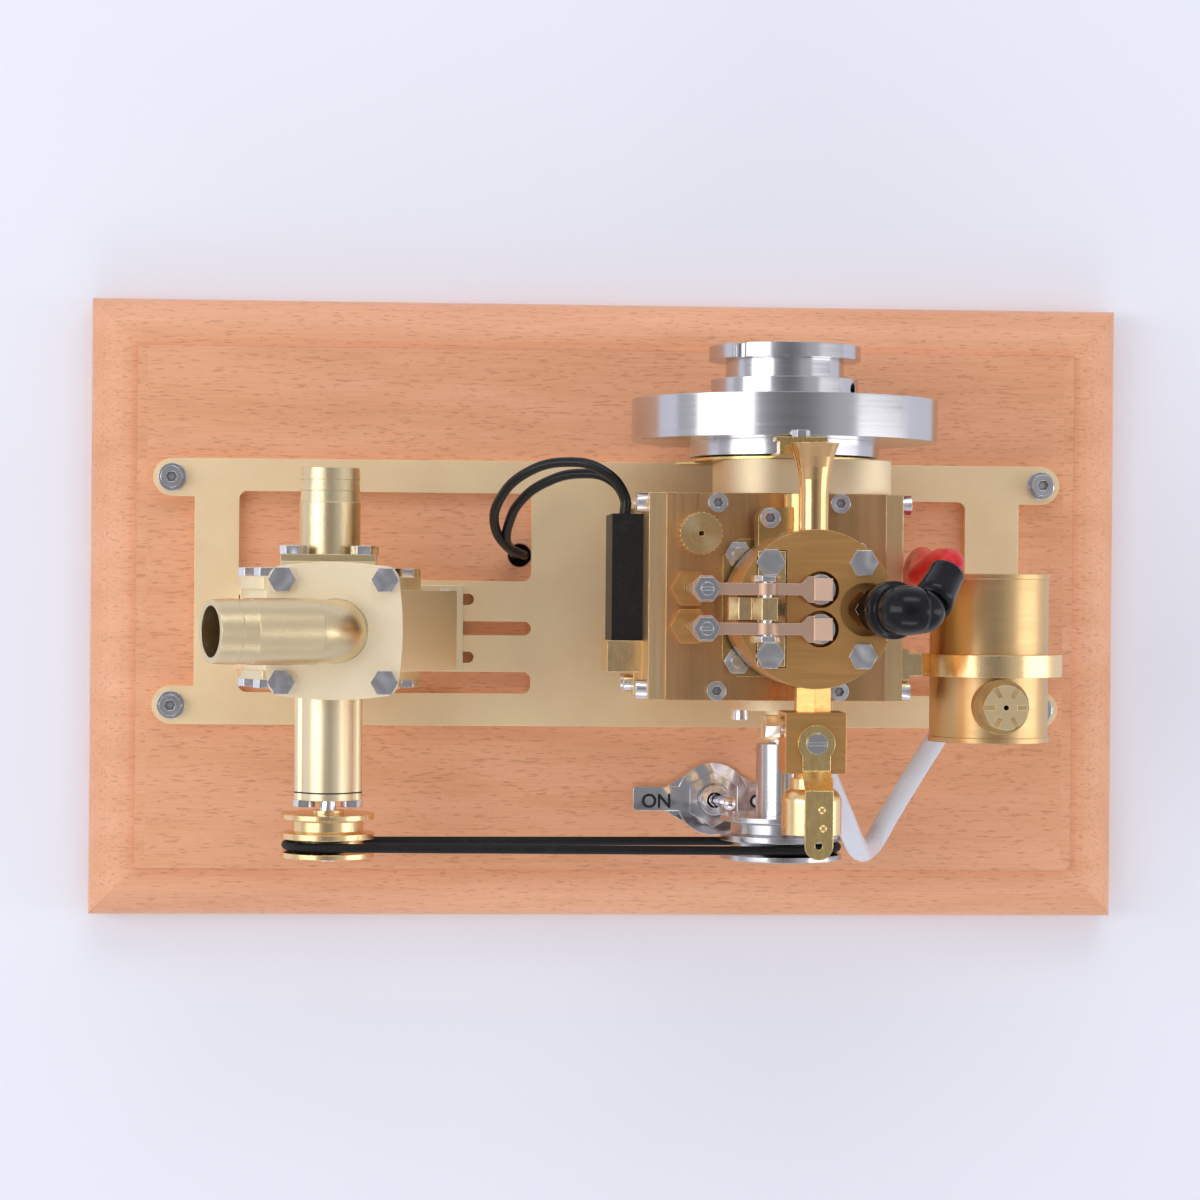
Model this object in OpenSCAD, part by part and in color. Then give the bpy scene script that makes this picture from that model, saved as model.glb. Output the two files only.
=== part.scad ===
// Miniature gasoline engine driving a water pump, on a wooden display base.
// Origin: centre of the base's underside. X runs from pump to engine, Y to the flywheel, Z up.
// The crank, the camshaft and the pump shaft lie along Y. At rest the piston is at the top of its stroke.

/* [Wooden base] */
// Wooden base length
base_l = 260; // [250:1:300]
// Wooden base width
base_w = 155; // [145:1:180]
// Wooden base height
base_h = 18; // [17:0.5:24]
// Height of the upright edge below the moulding
edge_h = 7; // [5:0.5:9]
// Width of the moulding round the top
moulding_w = 12.4; // [9:0.2:15]

/* [Base plate] */
// Brass base plate length
plate_l = 206; // [200:1:225]
// Brass base plate width
plate_w = 66; // [64:1:76]
// Brass base plate thickness
plate_t = 3; // [2:0.25:5]
// Distance of the plate's middle from the wood's middle, towards the flywheel
plate_y = 4; // [2:0.5:6]
// Width of the long rails of the plate
rail_w = 8.1; // [6:0.1:9]
// Width of the bar at the plate's pump end
end_bar_w = 11; // [8:0.5:14]
// Width of the bar at the plate's tank end
tank_bar_w = 13.6; // [10:0.2:16]
// Width of an ear of the plate
ear_w = 9.5; // [8:0.25:12]
// Distance of an ear's screw past the end of the plate
ear_reach = 5.5; // [4:0.25:7]
// Width of the open window behind the pump
window_w = 21.8; // [18:0.2:23]
// Pump's adjusting slots width
slot_w = 2.8; // [2.6:0.1:3.4]

/* [Crankcase] */
// Length of the crankcase with its side covers
case_l = 58.8; // [56:0.2:62]
// Width of the crankcase between its bearing walls' outer faces
case_w = 47.7; // [47:0.1:52]
// Height of the crankcase with its top cover
case_h = 60; // [58:0.5:64]
// Distance of the crankcase's middle from the wood's middle, towards the tank
case_x = 34.7; // [33:0.1:36]
// Bearing wall thickness
wall_t = 5; // [4:0.25:5.5]
// Side cover thickness
side_t = 4; // [2.5:0.25:4]
// Top cover thickness
cover_t = 3; // [2:0.25:3.5]
// Crankcase floor thickness
floor_t = 4; // [3:0.25:6]

/* [Crank train] */
// Distance of the crank axis from the middle of the crankcase
crank_dx = 4.3; // [4:0.1:5]
// Height of the crank axis above the base plate
crank_h = 37; // [36:0.25:38]
// Stroke of the piston
stroke = 15; // [12:0.5:15]
// Length of the connecting rod between its two centres
rod_l = 25.5; // [24.5:0.25:25.5]
// Cylinder bore diameter
bore_d = 20; // [16:0.5:20.5]
// Crank journals diameter
journal_d = 6; // [5:0.25:7]
// Crank pin diameter
pin_d = 5; // [4:0.25:5.5]
// Flywheel diameter
flywheel_d = 72.6; // [60:0.2:73]
// Flywheel's rim thickness
flywheel_t = 9.8; // [8:0.2:11]
// Starter pulley's flange diameter
starter_d = 36; // [33:0.5:44]
// Starter pulley's groove diameter
starter_groove_d = 28; // [24:0.5:31]

/* [Cylinder and head] */
// Diameter of the cylinder jacket and the head
jacket_d = 34.8; // [34.4:0.1:36]
// Height of the cylinder above the crankcase
barrel_h = 17; // [16.5:0.25:18]
// Cylinder head height
head_h = 20; // [19.5:0.25:22]

/* [Valve gear] */
// Distance between the two rocker arms
rocker_pitch = 8.6; // [8.4:0.1:9.2]
// Length of the rocker from its shaft to the pushrod
rocker_out = 13.4; // [13:0.1:13.8]
// Length of the rocker from its shaft to the valve
rocker_in = 12; // [11.6:0.1:12.4]
// Lift of a pushrod
lift = 1.5; // [1:0.1:1.8]
// Valve head diameter
valve_d = 6.8; // [6:0.2:7.4]
// Valve stem diameter
stem_d = 2.4; // [2:0.1:2.6]
// Teeth of the crank pinion
pinion_teeth = 14; // [12:1:16]

/* [Carburettor and exhaust] */
// Side of the carburettor body
carb_s = 13.4; // [12.4:0.1:14]
// Air horn's mouth diameter
horn_d = 13.3; // [12:0.1:14]
// Air horn length
horn_l = 10.4; // [9:0.2:12]
// Throttle lever width
lever_w = 6.2; // [5:0.1:6.6]
// Exhaust pipe diameter
exhaust_d = 6.5; // [5.6:0.1:7]
// Exhaust's flared mouth diameter
flare_d = 11; // [9.6:0.2:12]

/* [Fuel tank] */
// Fuel tank outer diameter
tank_d = 27.4; // [25:0.2:28]
// Fuel tank length
tank_l = 38.9; // [36:0.1:42]
// Height of the tank's axis above the base plate
tank_h = 54; // [52:0.5:58]
// Distance of the tank's axis from the side of the crankcase
tank_dx = 21.2; // [20.8:0.1:24]
// Width of the clamp round the tank
clamp_w = 5.1; // [4:0.1:7]
// Tank's filler cap diameter
cap_d = 10.2; // [8:0.2:11]

/* [Ignition and switch] */
// Ignition module length
module_l = 29.9; // [26:0.1:31]
// Ignition module thickness
module_t = 7.3; // [6:0.1:8]
// Lean of the spark plug towards the tank, in degrees
plug_lean = 18; // [15:0.5:19]
// High-tension lead diameter
lead_d = 5.4; // [4.6:0.1:5.6]
// Switch's ring diameter
switch_ring_d = 18.1; // [16:0.1:20]
// Lean of the switch lever to each side, in degrees
toggle_lean = 12.5; // [10:0.5:14]

/* [Pump] */
// Distance of the pump axis from the wood's middle, towards the free end
pump_x = 68.4; // [66:0.2:70]
// Width of the pump casing along its shaft
casing_w = 18.8; // [17:0.2:20]
// Smallest outer radius of the spiral casing
volute_r0 = 20.5; // [20:0.1:22]
// Largest outer radius of the spiral casing
volute_r1 = 30; // [27:0.25:31]
// Impeller diameter
impeller_d = 27; // [22:0.5:28]
// Side of the square outlet flange
flange_s = 31.6; // [30:0.2:34]
// Inlet pipe outer diameter
pipe_d = 14.4; // [13:0.1:15]
// Outlet elbow outer diameter
elbow_d = 15; // [14:0.1:15.6]
// Slope of the outlet pipe above the level, in degrees
outlet_slope = 25; // [20:0.5:30]
// Pump's bearing housing diameter
housing_d = 13.1; // [12:0.1:14]
// Pump's bearing housing length
housing_l = 26.7; // [24:0.1:27]

/* [Belt drive] */
// Diameter of the round belt
belt_d = 2.1; // [1.8:0.1:2.4]
// Engine's drive pulley diameter
drive_d = 29; // [27:0.2:32]
// Pump's pulley diameter
driven_d = 22; // [20:0.2:24]

/* [Hidden] */
$fn = 48;

// Clearances, all radial or face to face
cut = 1;
run_fit = 0.05;
snug = 0.02;
air = 0.3;

// Colours
beech = "#dfa27c";
matt_brass = "#dcbe8c";
brass = "#b08a4e";
gold = "#cfae4c";
cream = "#cdb98c";
copper = "#a57d69";
steel = "#b9b9be";
rubber = "#1c1c1e";
red = "#c3202a";
clear_hose = "#dfe2ea";
ceramic = "#e8e6e0";

// Levels
plate_top = base_h + plate_t;
deck_z = plate_top + case_h;
crank_z = plate_top + crank_h;
head_z = deck_z + barrel_h;
roof_z = head_z + head_h;

// Plan of the crankcase and the crank
case_y = 3.85;
case_x0 = case_x - case_l / 2;
case_x1 = case_x + case_l / 2;
case_y0 = case_y - case_w / 2;
case_y1 = case_y + case_w / 2;
crank_x = case_x + crank_dx;
bore_offset = 2.45;
cyl_y = case_y - bore_offset;
throw_r = stroke / 2;

// Fasteners: each kind is named by the diameter of its thread
m2 = 2;
m25 = 2.5;
m3 = 3;
socket_head_share = 1.8;
socket_key_share = 0.8;
socket_depth_share = 0.5;
hex_head_share = 1.83;
hex_height_share = 0.68;
washer_share = 2.33;
washer_t = 0.5;

// Plan of the base plate
plate_x1 = plate_l / 2;
plate_y0 = plate_y - plate_w / 2;
plate_y1 = plate_y + plate_w / 2;
ear_inset = 4.8;
window_corner = 2;
window_x = end_bar_w - plate_x1;
deck_bar = 19.6;
front_slot_w = 5.4;
middle_slot_w = 3.5;
slot_end = 33.8;

// Wire holes and the switch's pocket in the wood
pump_y = -4.7;
wire_hole_d = 5.8;
wire_hole_x = -22.4;
wire_hole_y = 13.6;
lead_hole_x = 73;
lead_hole_y = 8;
switch_x = 26.6;
switch_in = 30.4;
switch_y = switch_in - base_w / 2;
bush_d = 7.5;
body_l = 13.2;
body_w = 8.2;
body_h = 9.6;
pocket_roof = 5;
pocket_gap = 2;

// A plain bar standing on the origin, and a move upwards
module rod(h, r) cylinder(h = h, r = r);
module up(z) translate([0, 0, z]) children();

// A bar of radius r along X, Y or Z between two places
module xbar(y, z, x0, x1, r) translate([x0, y, z]) rotate([0, 90, 0]) rod(x1 - x0, r);
module ybar(x, z, y0, y1, r) translate([x, y0, z]) rotate([-90, 0, 0]) rod(y1 - y0, r);
module zbar(x, y, z0, z1, r) translate([x, y, z0]) rod(z1 - z0, r);

// Bars on the crank axis, the pump axis and the cylinder axis
module crank_bar(y0, y1, r) ybar(crank_x, crank_z, y0, y1, r);
module pump_bar(y0, y1, r) ybar(-pump_x, pump_z, y0, y1, r);
module bore_bar(z0, z1, r) zbar(crank_x, cyl_y, z0, z1, r);

// A block between two opposite corners
module block(p, q) translate(p) cube(q - p);

// Copies at the four corners of a rectangle with these half sides
module corners(x, y) for (i = [-1, 1], j = [-1, 1]) translate([i * x, j * y]) children();

// A rectangle with round corners between two opposite corners
module round_rect(p, q, r) {
  translate([p.x + r, p.y]) square([q.x - p.x - 2 * r, q.y - p.y]);
  translate([p.x, p.y + r]) square([q.x - p.x, q.y - p.y - 2 * r]);
  for (x = [p.x + r, q.x - r], y = [p.y + r, q.y - r]) translate([x, y]) circle(r);
}

// A hexagonal bar of width af across its flats, standing on the origin
module hexagon(h, af) cylinder(h = h, r = af / sqrt(3), $fn = 6);

// A socket-head screw whose head sits on the origin, with its shank below
module socket_screw(d, reach) {
  difference() {
    rod(d, d * socket_head_share / 2);
    up(d * (1 - socket_depth_share)) hexagon(d, d * socket_key_share);
  }
  up(-reach) rod(reach, d / 2);
}

// A hex-head screw whose head sits on the origin, with its shank below
module hex_screw(d, reach) {
  hexagon(d * hex_height_share, d * hex_head_share);
  up(-reach) rod(reach, d / 2);
}

// Turns a child that points up so that it points along +Y, -Y, +X or -X
module to_rear() rotate([-90, 0, 0]) children();
module to_front() rotate([90, 0, 0]) children();
module to_right() rotate([0, 90, 0]) children();
module to_left() rotate([0, -90, 0]) children();

// A tube swept through points, its rings square to the route; a closed one has no ends
function unit(v) = v / norm(v);
function spline(a, b, c, d, t) = 0.5 * (2 * b + (c - a) * t + (2 * a - 5 * b + 4 * c - d) * t * t
  + (3 * b - a - 3 * c + d) * t * t * t);
function smooth(pts, steps) = let (n = len(pts))
  [for (i = [0:n - 2], s = [0:steps - 1]) let (a = i > 0 ? pts[i - 1] : 2 * pts[0] - pts[1],
    d = i < n - 2 ? pts[i + 2] : 2 * pts[n - 1] - pts[n - 2]) spline(a, pts[i], pts[i + 1], d, s / steps),
    pts[n - 1]];
function route_length(p, i = 0) = i < len(p) - 1 ? norm(p[i + 1] - p[i]) + route_length(p, i + 1) : 0;
module swept_tube(path, r, sides, up, closed = false) {
  n = len(path);
  tangents = [for (i = [0:n - 1]) closed ? unit(path[(i + 1) % n] - path[(i + n - 1) % n])
    : unit(path[min(i + 1, n - 1)] - path[max(i - 1, 0)])];
  rings = [for (i = [0:n - 1]) let (u = unit(cross(up, tangents[i])), v = cross(tangents[i], u))
    for (k = [0:sides - 1]) path[i] + r * (cos(360 * k / sides) * u + sin(360 * k / sides) * v)];
  walls = [for (i = [0:n - (closed ? 1 : 2)], k = [0:sides - 1]) let (j = (i + 1) % n * sides,
    m = (k + 1) % sides) each [[i * sides + k, j + k, j + m], [i * sides + k, j + m, i * sides + m]]];
  last = (n - 1) * sides;
  caps = closed ? [] : [for (k = [1:sides - 2]) each [[0, k, k + 1], [last, last + k + 1, last + k]]];
  polyhedron(rings, concat(walls, caps));
}

// Wooden base: two moulded profiles crossed, so that the corners mitre as a frame's do
step_h = 2;
function moulding(half) = [for (t = [0:9:90])
  [half - moulding_w * (1 - cos(t)), edge_h + (base_h - step_h - edge_h) * sin(t)]];
function mirrored(pts) = [for (i = [len(pts) - 1:-1:0]) [-pts[i].x, pts[i].y]];
function base_profile(half) = concat([[half, 0]], moulding(half), [[half - moulding_w, base_h]],
  [[moulding_w - half, base_h]], mirrored(moulding(half)), [[-half, 0]]);

module ear_places() translate([0, plate_y]) corners(plate_x1 + ear_reach, plate_w / 2 - ear_inset) children();

screw_bite = 9;

module wood_base() color(beech) difference() {
  intersection() {
    translate([0, base_w / 2]) rotate([90, 0, 0]) linear_extrude(base_w) polygon(base_profile(base_l / 2));
    translate([-base_l / 2, 0]) rotate([90, 0, 90]) linear_extrude(base_l) polygon(base_profile(base_w / 2));
  }
  ear_places() up(base_h - screw_bite) rod(screw_bite + cut, m3 / 2 + snug);
  zbar(wire_hole_x, wire_hole_y, -cut, base_h + cut, wire_hole_d / 2);
  zbar(lead_hole_x, lead_hole_y, -cut, base_h + cut, lead_d / 2 + air);
  zbar(switch_x, switch_y, -cut, base_h + cut, bush_d / 2 + snug);
  block([switch_x - body_l / 2 - pocket_gap, switch_y - body_w / 2 - pocket_gap, -cut],
    [switch_x + body_l / 2 + pocket_gap, switch_y + body_w / 2 + pocket_gap, base_h - pocket_roof]);
}

// Base plate: rails, ears, windows and the slots in which the pump slides to tension the belt
module base_plate() color(matt_brass) up(base_h) linear_extrude(plate_t) difference() {
  union() {
    translate([-plate_x1, plate_y0]) square([plate_l, plate_w]);
    ear_places() circle(ear_w / 2);
    translate([0, plate_y]) corners(plate_x1 + ear_reach / 2, plate_w / 2 - ear_inset)
      square([ear_reach, ear_w], center = true);
  }
  ear_places() circle(m3 / 2 + snug);
  round_rect([window_x, plate_y1 - rail_w - window_w], [-deck_bar, plate_y1 - rail_w],
    window_corner);
  round_rect([window_x, plate_y0 + rail_w], [-deck_bar, plate_y0 + rail_w + front_slot_w],
    window_corner);
  round_rect([window_x, pump_y - middle_slot_w / 2], [-deck_bar, pump_y + middle_slot_w / 2],
    middle_slot_w / 2 - snug);
  for (side = [-1, 1]) translate([0, pump_y + side * foot_bolt_y])
    round_rect([window_x, -slot_w / 2], [-slot_end, slot_w / 2], slot_w / 2 - snug);
  round_rect([case_x1 + window_gap, plate_y0 + rail_w], [plate_x1 - tank_bar_w, plate_y1 - rail_w - cut],
    window_corner);
}

window_gap = 5.8;

module base_screws() color(steel) ear_places() up(plate_top) {
  difference() {
    rod(washer_t, m3 * washer_share / 2);
    up(-cut) rod(cut + washer_t + cut, m3 / 2 + snug);
  }
  up(washer_t) socket_screw(m3, washer_t + plate_t + screw_bite - snug);
}

// Crankcase: a channel open at both sides and at the top, each opening closed by a cover
cover_inset = 2.3;
cover_screw_x = [20.9, 49.1];
cover_bite = 6;
cam_journal_d = 5;
bearing_d = 16;
cam_pocket = 3;
cam_dist = 17.5;
cam_x = crank_x - cam_dist;
side_screw_in = 2.6;
side_drop = 0.5;
case_screw_z = [plate_top + floor_t + side_screw_in, deck_z - cover_t - side_screw_in];
cap_screw_r = 9.8;

module cover_screw_places() {
  for (x = cover_screw_x, y = [case_y0 + cover_inset, case_y1 - cover_inset])
    translate([x, y, deck_z]) children();
}

module side_screw_places() {
  for (y = [case_y0 + cover_inset, case_y1 - cover_inset], z = case_screw_z) {
    translate([case_x1, y, z]) to_right() children();
    translate([case_x0, y, z]) to_left() children();
  }
}

module cap_screw_places() {
  for (side = [-1, 1]) translate([crank_x + side * cap_screw_r, case_y0 - cap_t, crank_z]) to_front()
    children();
}

cap_t = 2.9;
cap_plate_d = 24.3;
cap_neck_d = 10;
cap_neck_l = 7.1;
blind_wall = 1.4;
cap_bite = wall_t - blind_wall;

module hole(d, reach) up(-reach) rod(reach + cut, d / 2 + snug);

module crankcase() color(brass) difference() {
  block([case_x0 + side_t, case_y0, plate_top], [case_x1 - side_t, case_y1, deck_z - cover_t]);
  block([case_x0, case_y0 + wall_t, plate_top + floor_t], [case_x1, case_y1 - wall_t, deck_z]);
  crank_bar(case_y0 - cut, case_y1 + cut, bearing_d / 2 + snug);
  ybar(cam_x, crank_z, case_y0 + wall_t - cam_pocket, case_y1 - wall_t + cam_pocket,
    cam_journal_d / 2 + run_fit);
  cover_screw_places() hole(m25, cover_t + cover_bite + air);
  side_screw_places() hole(m25, side_t + cover_bite + air);
  cap_screw_places() hole(m25, cap_t + cap_bite + air);
}

module side_covers() color(brass) difference() {
  for (x = [case_x0, case_x1 - side_t])
    block([x, case_y0, plate_top], [x + side_t, case_y1, deck_z - side_drop]);
  block([case_x0 + side_t - 2 * air, gear_y - air, crank_z - cam_dist],
    [case_x0 + side_t + cut, gear_y + gear_t + air, crank_z + cam_dist]);
  side_screw_places() hole(m25, side_t + cut);
  bracket_screw_places() hole(m2, clamp_lip_t + side_t - cut);
  clamp_screw_places() hole(m2, clamp_lip_t + side_t - cut);
}

// Top cover: carries the cylinder, the two pushrod guides and the oil filler
valve_dx = 1;
pushrod_x = crank_x + valve_dx - rocker_in - rocker_out;
guide_d = 5;
filler_x = 16.5;
filler_y = 18.2;
filler_d = 6;
stud_dx = 13.6;
stud_dy = 12.2;
stud_bite = 2.6;

exhaust_row = cyl_y + rocker_pitch / 2;
intake_row = cyl_y - rocker_pitch / 2;
module valve_rows() for (y = [exhaust_row, intake_row]) translate([0, y]) children();
module stud_places() translate([crank_x, cyl_y, deck_z]) corners(stud_dx, stud_dy) children();

module top_cover() color(brass) difference() {
  block([case_x0 + side_t, case_y0, deck_z - cover_t], [case_x1 - side_t, case_y1, deck_z]);
  bore_bar(deck_z - cover_t - cut, deck_z + cut, bore_d / 2 + liner_t + snug);
  valve_rows() zbar(pushrod_x, 0, deck_z - cover_t - cut, deck_z + cut, guide_d / 2 + snug);
  zbar(filler_x, filler_y, deck_z - cover_t - cut, deck_z + cut, filler_d / 2 + run_fit);
  cover_screw_places() hole(m25, cover_t + cut);
  stud_places() hole(m3, stud_bite);
}

module case_screws() color(steel) {
  cover_screw_places() socket_screw(m25, cover_t + cover_bite);
  side_screw_places() socket_screw(m25, side_t + cover_bite);
  cap_screw_places() socket_screw(m25, cap_t + cap_bite);
  bracket_screw_places() socket_screw(m2, clamp_lip_t + side_t - blind_wall);
  clamp_screw_places() socket_screw(m2, clamp_lip_t + side_t - blind_wall);
}

module bearing_cap() color(matt_brass) difference() {
  union() {
    crank_bar(case_y0 - cap_t, case_y0, cap_plate_d / 2);
    crank_bar(case_y0 - cap_t - cap_neck_l, case_y0, cap_neck_d / 2);
  }
  crank_bar(case_y0 - cap_t - cap_neck_l - cut, case_y0 + cut, journal_d / 2 + air);
  cap_screw_places() hole(m25, cap_t + cut);
}

module main_bearings() color(steel) {
  for (y = [case_y0, case_y1 - wall_t]) difference() {
    crank_bar(y, y + wall_t, bearing_d / 2);
    crank_bar(y - cut, y + wall_t + cut, journal_d / 2 + run_fit);
  }
}

// Rear housing: a block with round corners; the timing plate turns on its nose
housing_t = 8;
housing_w = 39.7;
housing_h = 46;
housing_corner = 12;
housing_dx = 4;
nose_d = 17;
nose_l = 0.5;

module rear_housing() color(cream) difference() {
  union() {
    translate([crank_x + housing_dx, case_y1, crank_z]) to_rear() linear_extrude(housing_t)
      round_rect([-housing_w / 2, -housing_h / 2], [housing_w / 2, housing_h / 2], housing_corner);
    crank_bar(case_y1, case_y1 + housing_t + nose_l, nose_d / 2);
  }
  crank_bar(case_y1 - cut, case_y1 + housing_t + nose_l + cut, journal_d / 2 + air);
}

// Cylinder: base flange, narrow neck, water jacket, and a liner that hangs into the crankcase
flange_t = 3;
liner_t = 2;
neck_r = 14;
neck_top = 7.5;
liner_drop = 9;
flange_half_x = 17;
flange_half_y = 15.8;
flange_corner_r = 20.8;
stub_d = 8.4;
stub_z = 12;
stub_reach = 8.4;
lug_dx = 7.9;
lug_dy = 20.2;
lug_r = 2.45;
lug_h = 8;

module cylinder_barrel() {
  top = head_z;
  color(brass) difference() {
    union() {
      intersection() {
        bore_bar(deck_z, deck_z + flange_t, flange_corner_r);
        block([crank_x - flange_half_x, cyl_y - flange_half_y, deck_z],
          [crank_x + flange_half_x, cyl_y + flange_half_y, deck_z + flange_t]);
      }
      bore_bar(deck_z - liner_drop, top, bore_d / 2 + liner_t);
      bore_bar(deck_z, top, neck_r);
      bore_bar(deck_z + neck_top, top, jacket_d / 2);
      ybar(crank_x, deck_z + stub_z, cyl_y, cyl_y + jacket_d / 2 + stub_reach, stub_d / 2);
      zbar(crank_x - lug_dx, cyl_y + lug_dy, deck_z + neck_top, deck_z + neck_top + lug_h, lug_r);
      block([crank_x - lug_dx, cyl_y + lug_dy - lug_r, deck_z + neck_top],
        [crank_x, cyl_y + lug_dy + lug_r, deck_z + neck_top + lug_h]);
      block([crank_x - lug_dx - lug_r, cyl_y + jacket_d / 4, deck_z + neck_top],
        [crank_x, cyl_y + lug_dy, deck_z + neck_top + lug_h]);
    }
    bore_bar(deck_z - liner_drop - cut, top + cut, bore_d / 2);
    ybar(crank_x, deck_z + stub_z, cyl_y + bore_d / 2 + liner_t, cyl_y + jacket_d, stub_d / 2 - liner_t / 2);
    stud_places() hole(m3, flange_t);
    stud_places() up(-cut) rod(flange_t + 2 * cut, m3 / 2 + snug);
    head_bolt_places() hole(m3, head_h + head_bite + air);
    lug_place() hole(m25, lug_h - cut);
  }
}
module lug_place() translate([crank_x - lug_dx, cyl_y + lug_dy, deck_z + neck_top + lug_h]) children();

nut_share = 0.8;

module cylinder_fasteners() color(steel) {
  head_bolt_places() hex_screw(m3, head_h + head_bite);
  stud_places() {
    up(flange_t) hexagon(m3 * nut_share, m3 * hex_head_share);
    up(-stud_bite) rod(stud_bite + flange_t + m3, m3 / 2);
  }
  lug_place() socket_screw(m25, lug_h - cut - air);
}

// Cylinder head: slot for the rocker stand, spring pockets, ports and the leaning plug hole
chamber_h = 3;
chamber_gap = 0.5;
bolt_side = 11.7;
head_bolt_pitch = rocker_pitch + bolt_side;
slot_h = 2.5;
slot_gap = 0.25;
pocket_d = 8;
pocket_h = 8;
port_d = 5.2;
port_z = 7.5;
seat_h = 1;
plug_dx = 12.85;
recess_dx = 11.1;
plug_d = 6;
plug_l = 17;
plug_hex = 7.4;
recess_d = 11.6;
recess_h = 5.4;
notch_x = 15.6;
notch_w = 13.8;
head_bite = 6;
valve_x = crank_x + valve_dx;

module head_bolt_places() translate([crank_x, cyl_y, roof_z])
  corners(head_bolt_pitch / 2, head_bolt_pitch / 2) children();
module plug_axis() translate([crank_x + plug_dx, cyl_y, roof_z]) rotate([0, plug_lean, 0]) children();

module cylinder_head() color(brass) difference() {
  bore_bar(head_z, roof_z, jacket_d / 2);
  bore_bar(head_z - cut, head_z + chamber_h, bore_d / 2 - chamber_gap);
  stand_slot(slot_gap);
  valve_rows() {
    zbar(valve_x, 0, roof_z - pocket_h, roof_z + cut, pocket_d / 2);
    zbar(valve_x, 0, head_z, roof_z, stem_d / 2 + run_fit);
    zbar(valve_x, 0, head_z + chamber_h - cut, head_z + port_z, port_d / 2);
    zbar(valve_x, 0, head_z, head_z + chamber_h + seat_h, valve_d / 2 + air);
  }
  ybar(valve_x, head_z + port_z, cyl_y - jacket_d, intake_row, port_d / 2);
  ybar(valve_x, head_z + port_z, exhaust_row, cyl_y + jacket_d, port_d / 2);
  plug_axis() up(-plug_l - cut) rod(plug_l + 2 * cut, plug_d / 2 + snug);
  zbar(crank_x + recess_dx, cyl_y, roof_z - recess_h, roof_z + cut, recess_d / 2);
  block([crank_x + notch_x, cyl_y - notch_w / 2, roof_z - recess_h], [crank_x + jacket_d, cyl_y + notch_w / 2,
    roof_z + cut]);
  head_bolt_places() hole(m3, head_h + cut);
}

// Spark plug: thread, hexagon, insulator and terminal on the leaning axis
hex_low = 3.9;
hex_tall = 3;
insulator_d = 4.4;
insulator_h = 7;
terminal_d = 2.4;
terminal_h = 3;

module spark_plug() plug_axis() {
  color(steel) {
    up(-plug_l) rod(plug_l - hex_low, plug_d / 2);
    up(-hex_low) hexagon(hex_tall, plug_hex);
  }
  color(ceramic) up(hex_tall - hex_low) rod(insulator_h, insulator_d / 2);
  color(steel) up(hex_tall - hex_low + insulator_h) rod(terminal_h, terminal_d / 2);
}

// Exhaust: a pipe that screws into the head and flares like a trumpet
exhaust_l = 19.3;
exhaust_seat = 4;
exhaust_wall = 0.7;
flare_share = [0.42, 0.58, 0.72, 0.84, 0.94, 1];
flare_grow_share = [0, 0.1, 0.28, 0.52, 0.8, 1];
exhaust_y0 = cyl_y + jacket_d / 2;

module exhaust_pipe() color(gold) translate([valve_x, exhaust_y0, head_z + port_z]) to_rear()
  rotate_extrude() polygon(concat(
    [[port_d / 2 - exhaust_wall, -exhaust_seat], [port_d / 2 - snug, -exhaust_seat],
      [port_d / 2 - snug, 0], [exhaust_d / 2, 0]],
    [for (i = [0:len(flare_share) - 1]) [exhaust_d / 2 + (flare_d - exhaust_d) / 2 * flare_grow_share[i],
      exhaust_l * flare_share[i]]],
    [for (i = [len(flare_share) - 1:-1:0]) [port_d / 2 - exhaust_wall
      + (flare_d - exhaust_d) / 2 * flare_grow_share[i], exhaust_l * flare_share[i]]]));

// Rocker stand: a bar under two head bolts, with a boss between the arms that holds the shaft
stand_w = 6.1;
stand_back = 2.65;
stand_end = 2.4;
boss_len = 4.9;
boss_back = 3.25;
boss_front = 4.05;
boss_flat = [-1.45, 1.9];
boss_side_h = 0.6;
boss_top_h = 2.6;
tail_l = 8;
tail_end = 2;
tail_h = 1.2;
shaft_d = 3;
shaft_up = 3;
arm_t = 2.6;
arm_h = 3.4;
shaft_x = valve_x - rocker_in;
shaft_z = roof_z + shaft_up;
stand_x0 = crank_x - head_bolt_pitch / 2 - stand_back;
stand_half = head_bolt_pitch / 2 + stand_end;

// The stand's room in the head: a cross bar and a channel for the tail
module stand_slot(gap) {
  floor_z = roof_z - slot_h;
  block([stand_x0 - gap, cyl_y - stand_half - gap, floor_z], [stand_x0 + stand_w + gap, cyl_y + stand_half
    + gap, roof_z + cut]);
  block([shaft_x - jacket_d, cyl_y - boss_len / 2 - gap, floor_z], [stand_x0 + stand_w, cyl_y + boss_len / 2
    + gap, roof_z + cut]);
}

module rocker_stand() color(gold) difference() {
  union() {
    block([stand_x0, cyl_y - stand_half, roof_z - slot_h], [stand_x0 + stand_w, cyl_y + stand_half, roof_z]);
    translate([shaft_x, cyl_y + boss_len / 2, roof_z]) rotate([90, 0, 0]) linear_extrude(boss_len)
      polygon([[-tail_l, -slot_h], [-tail_l, tail_h - tail_end], [tail_end - tail_l, tail_h],
        [-boss_back, tail_h], [-boss_back, shaft_up + boss_side_h], [boss_flat[0], shaft_up + boss_top_h],
        [boss_flat[1], shaft_up + boss_top_h], [boss_front, shaft_up + boss_side_h], [boss_front, -slot_h]]);
  }
  ybar(shaft_x, shaft_z, cyl_y - head_bolt_pitch, cyl_y + head_bolt_pitch, shaft_d / 2 + snug);
  head_bolt_places() hole(m3, head_h);
}

collar_d = 5;
collar_t = 1.3;
shaft_half = rocker_pitch / 2 + arm_t / 2 + air + collar_t;

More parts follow.
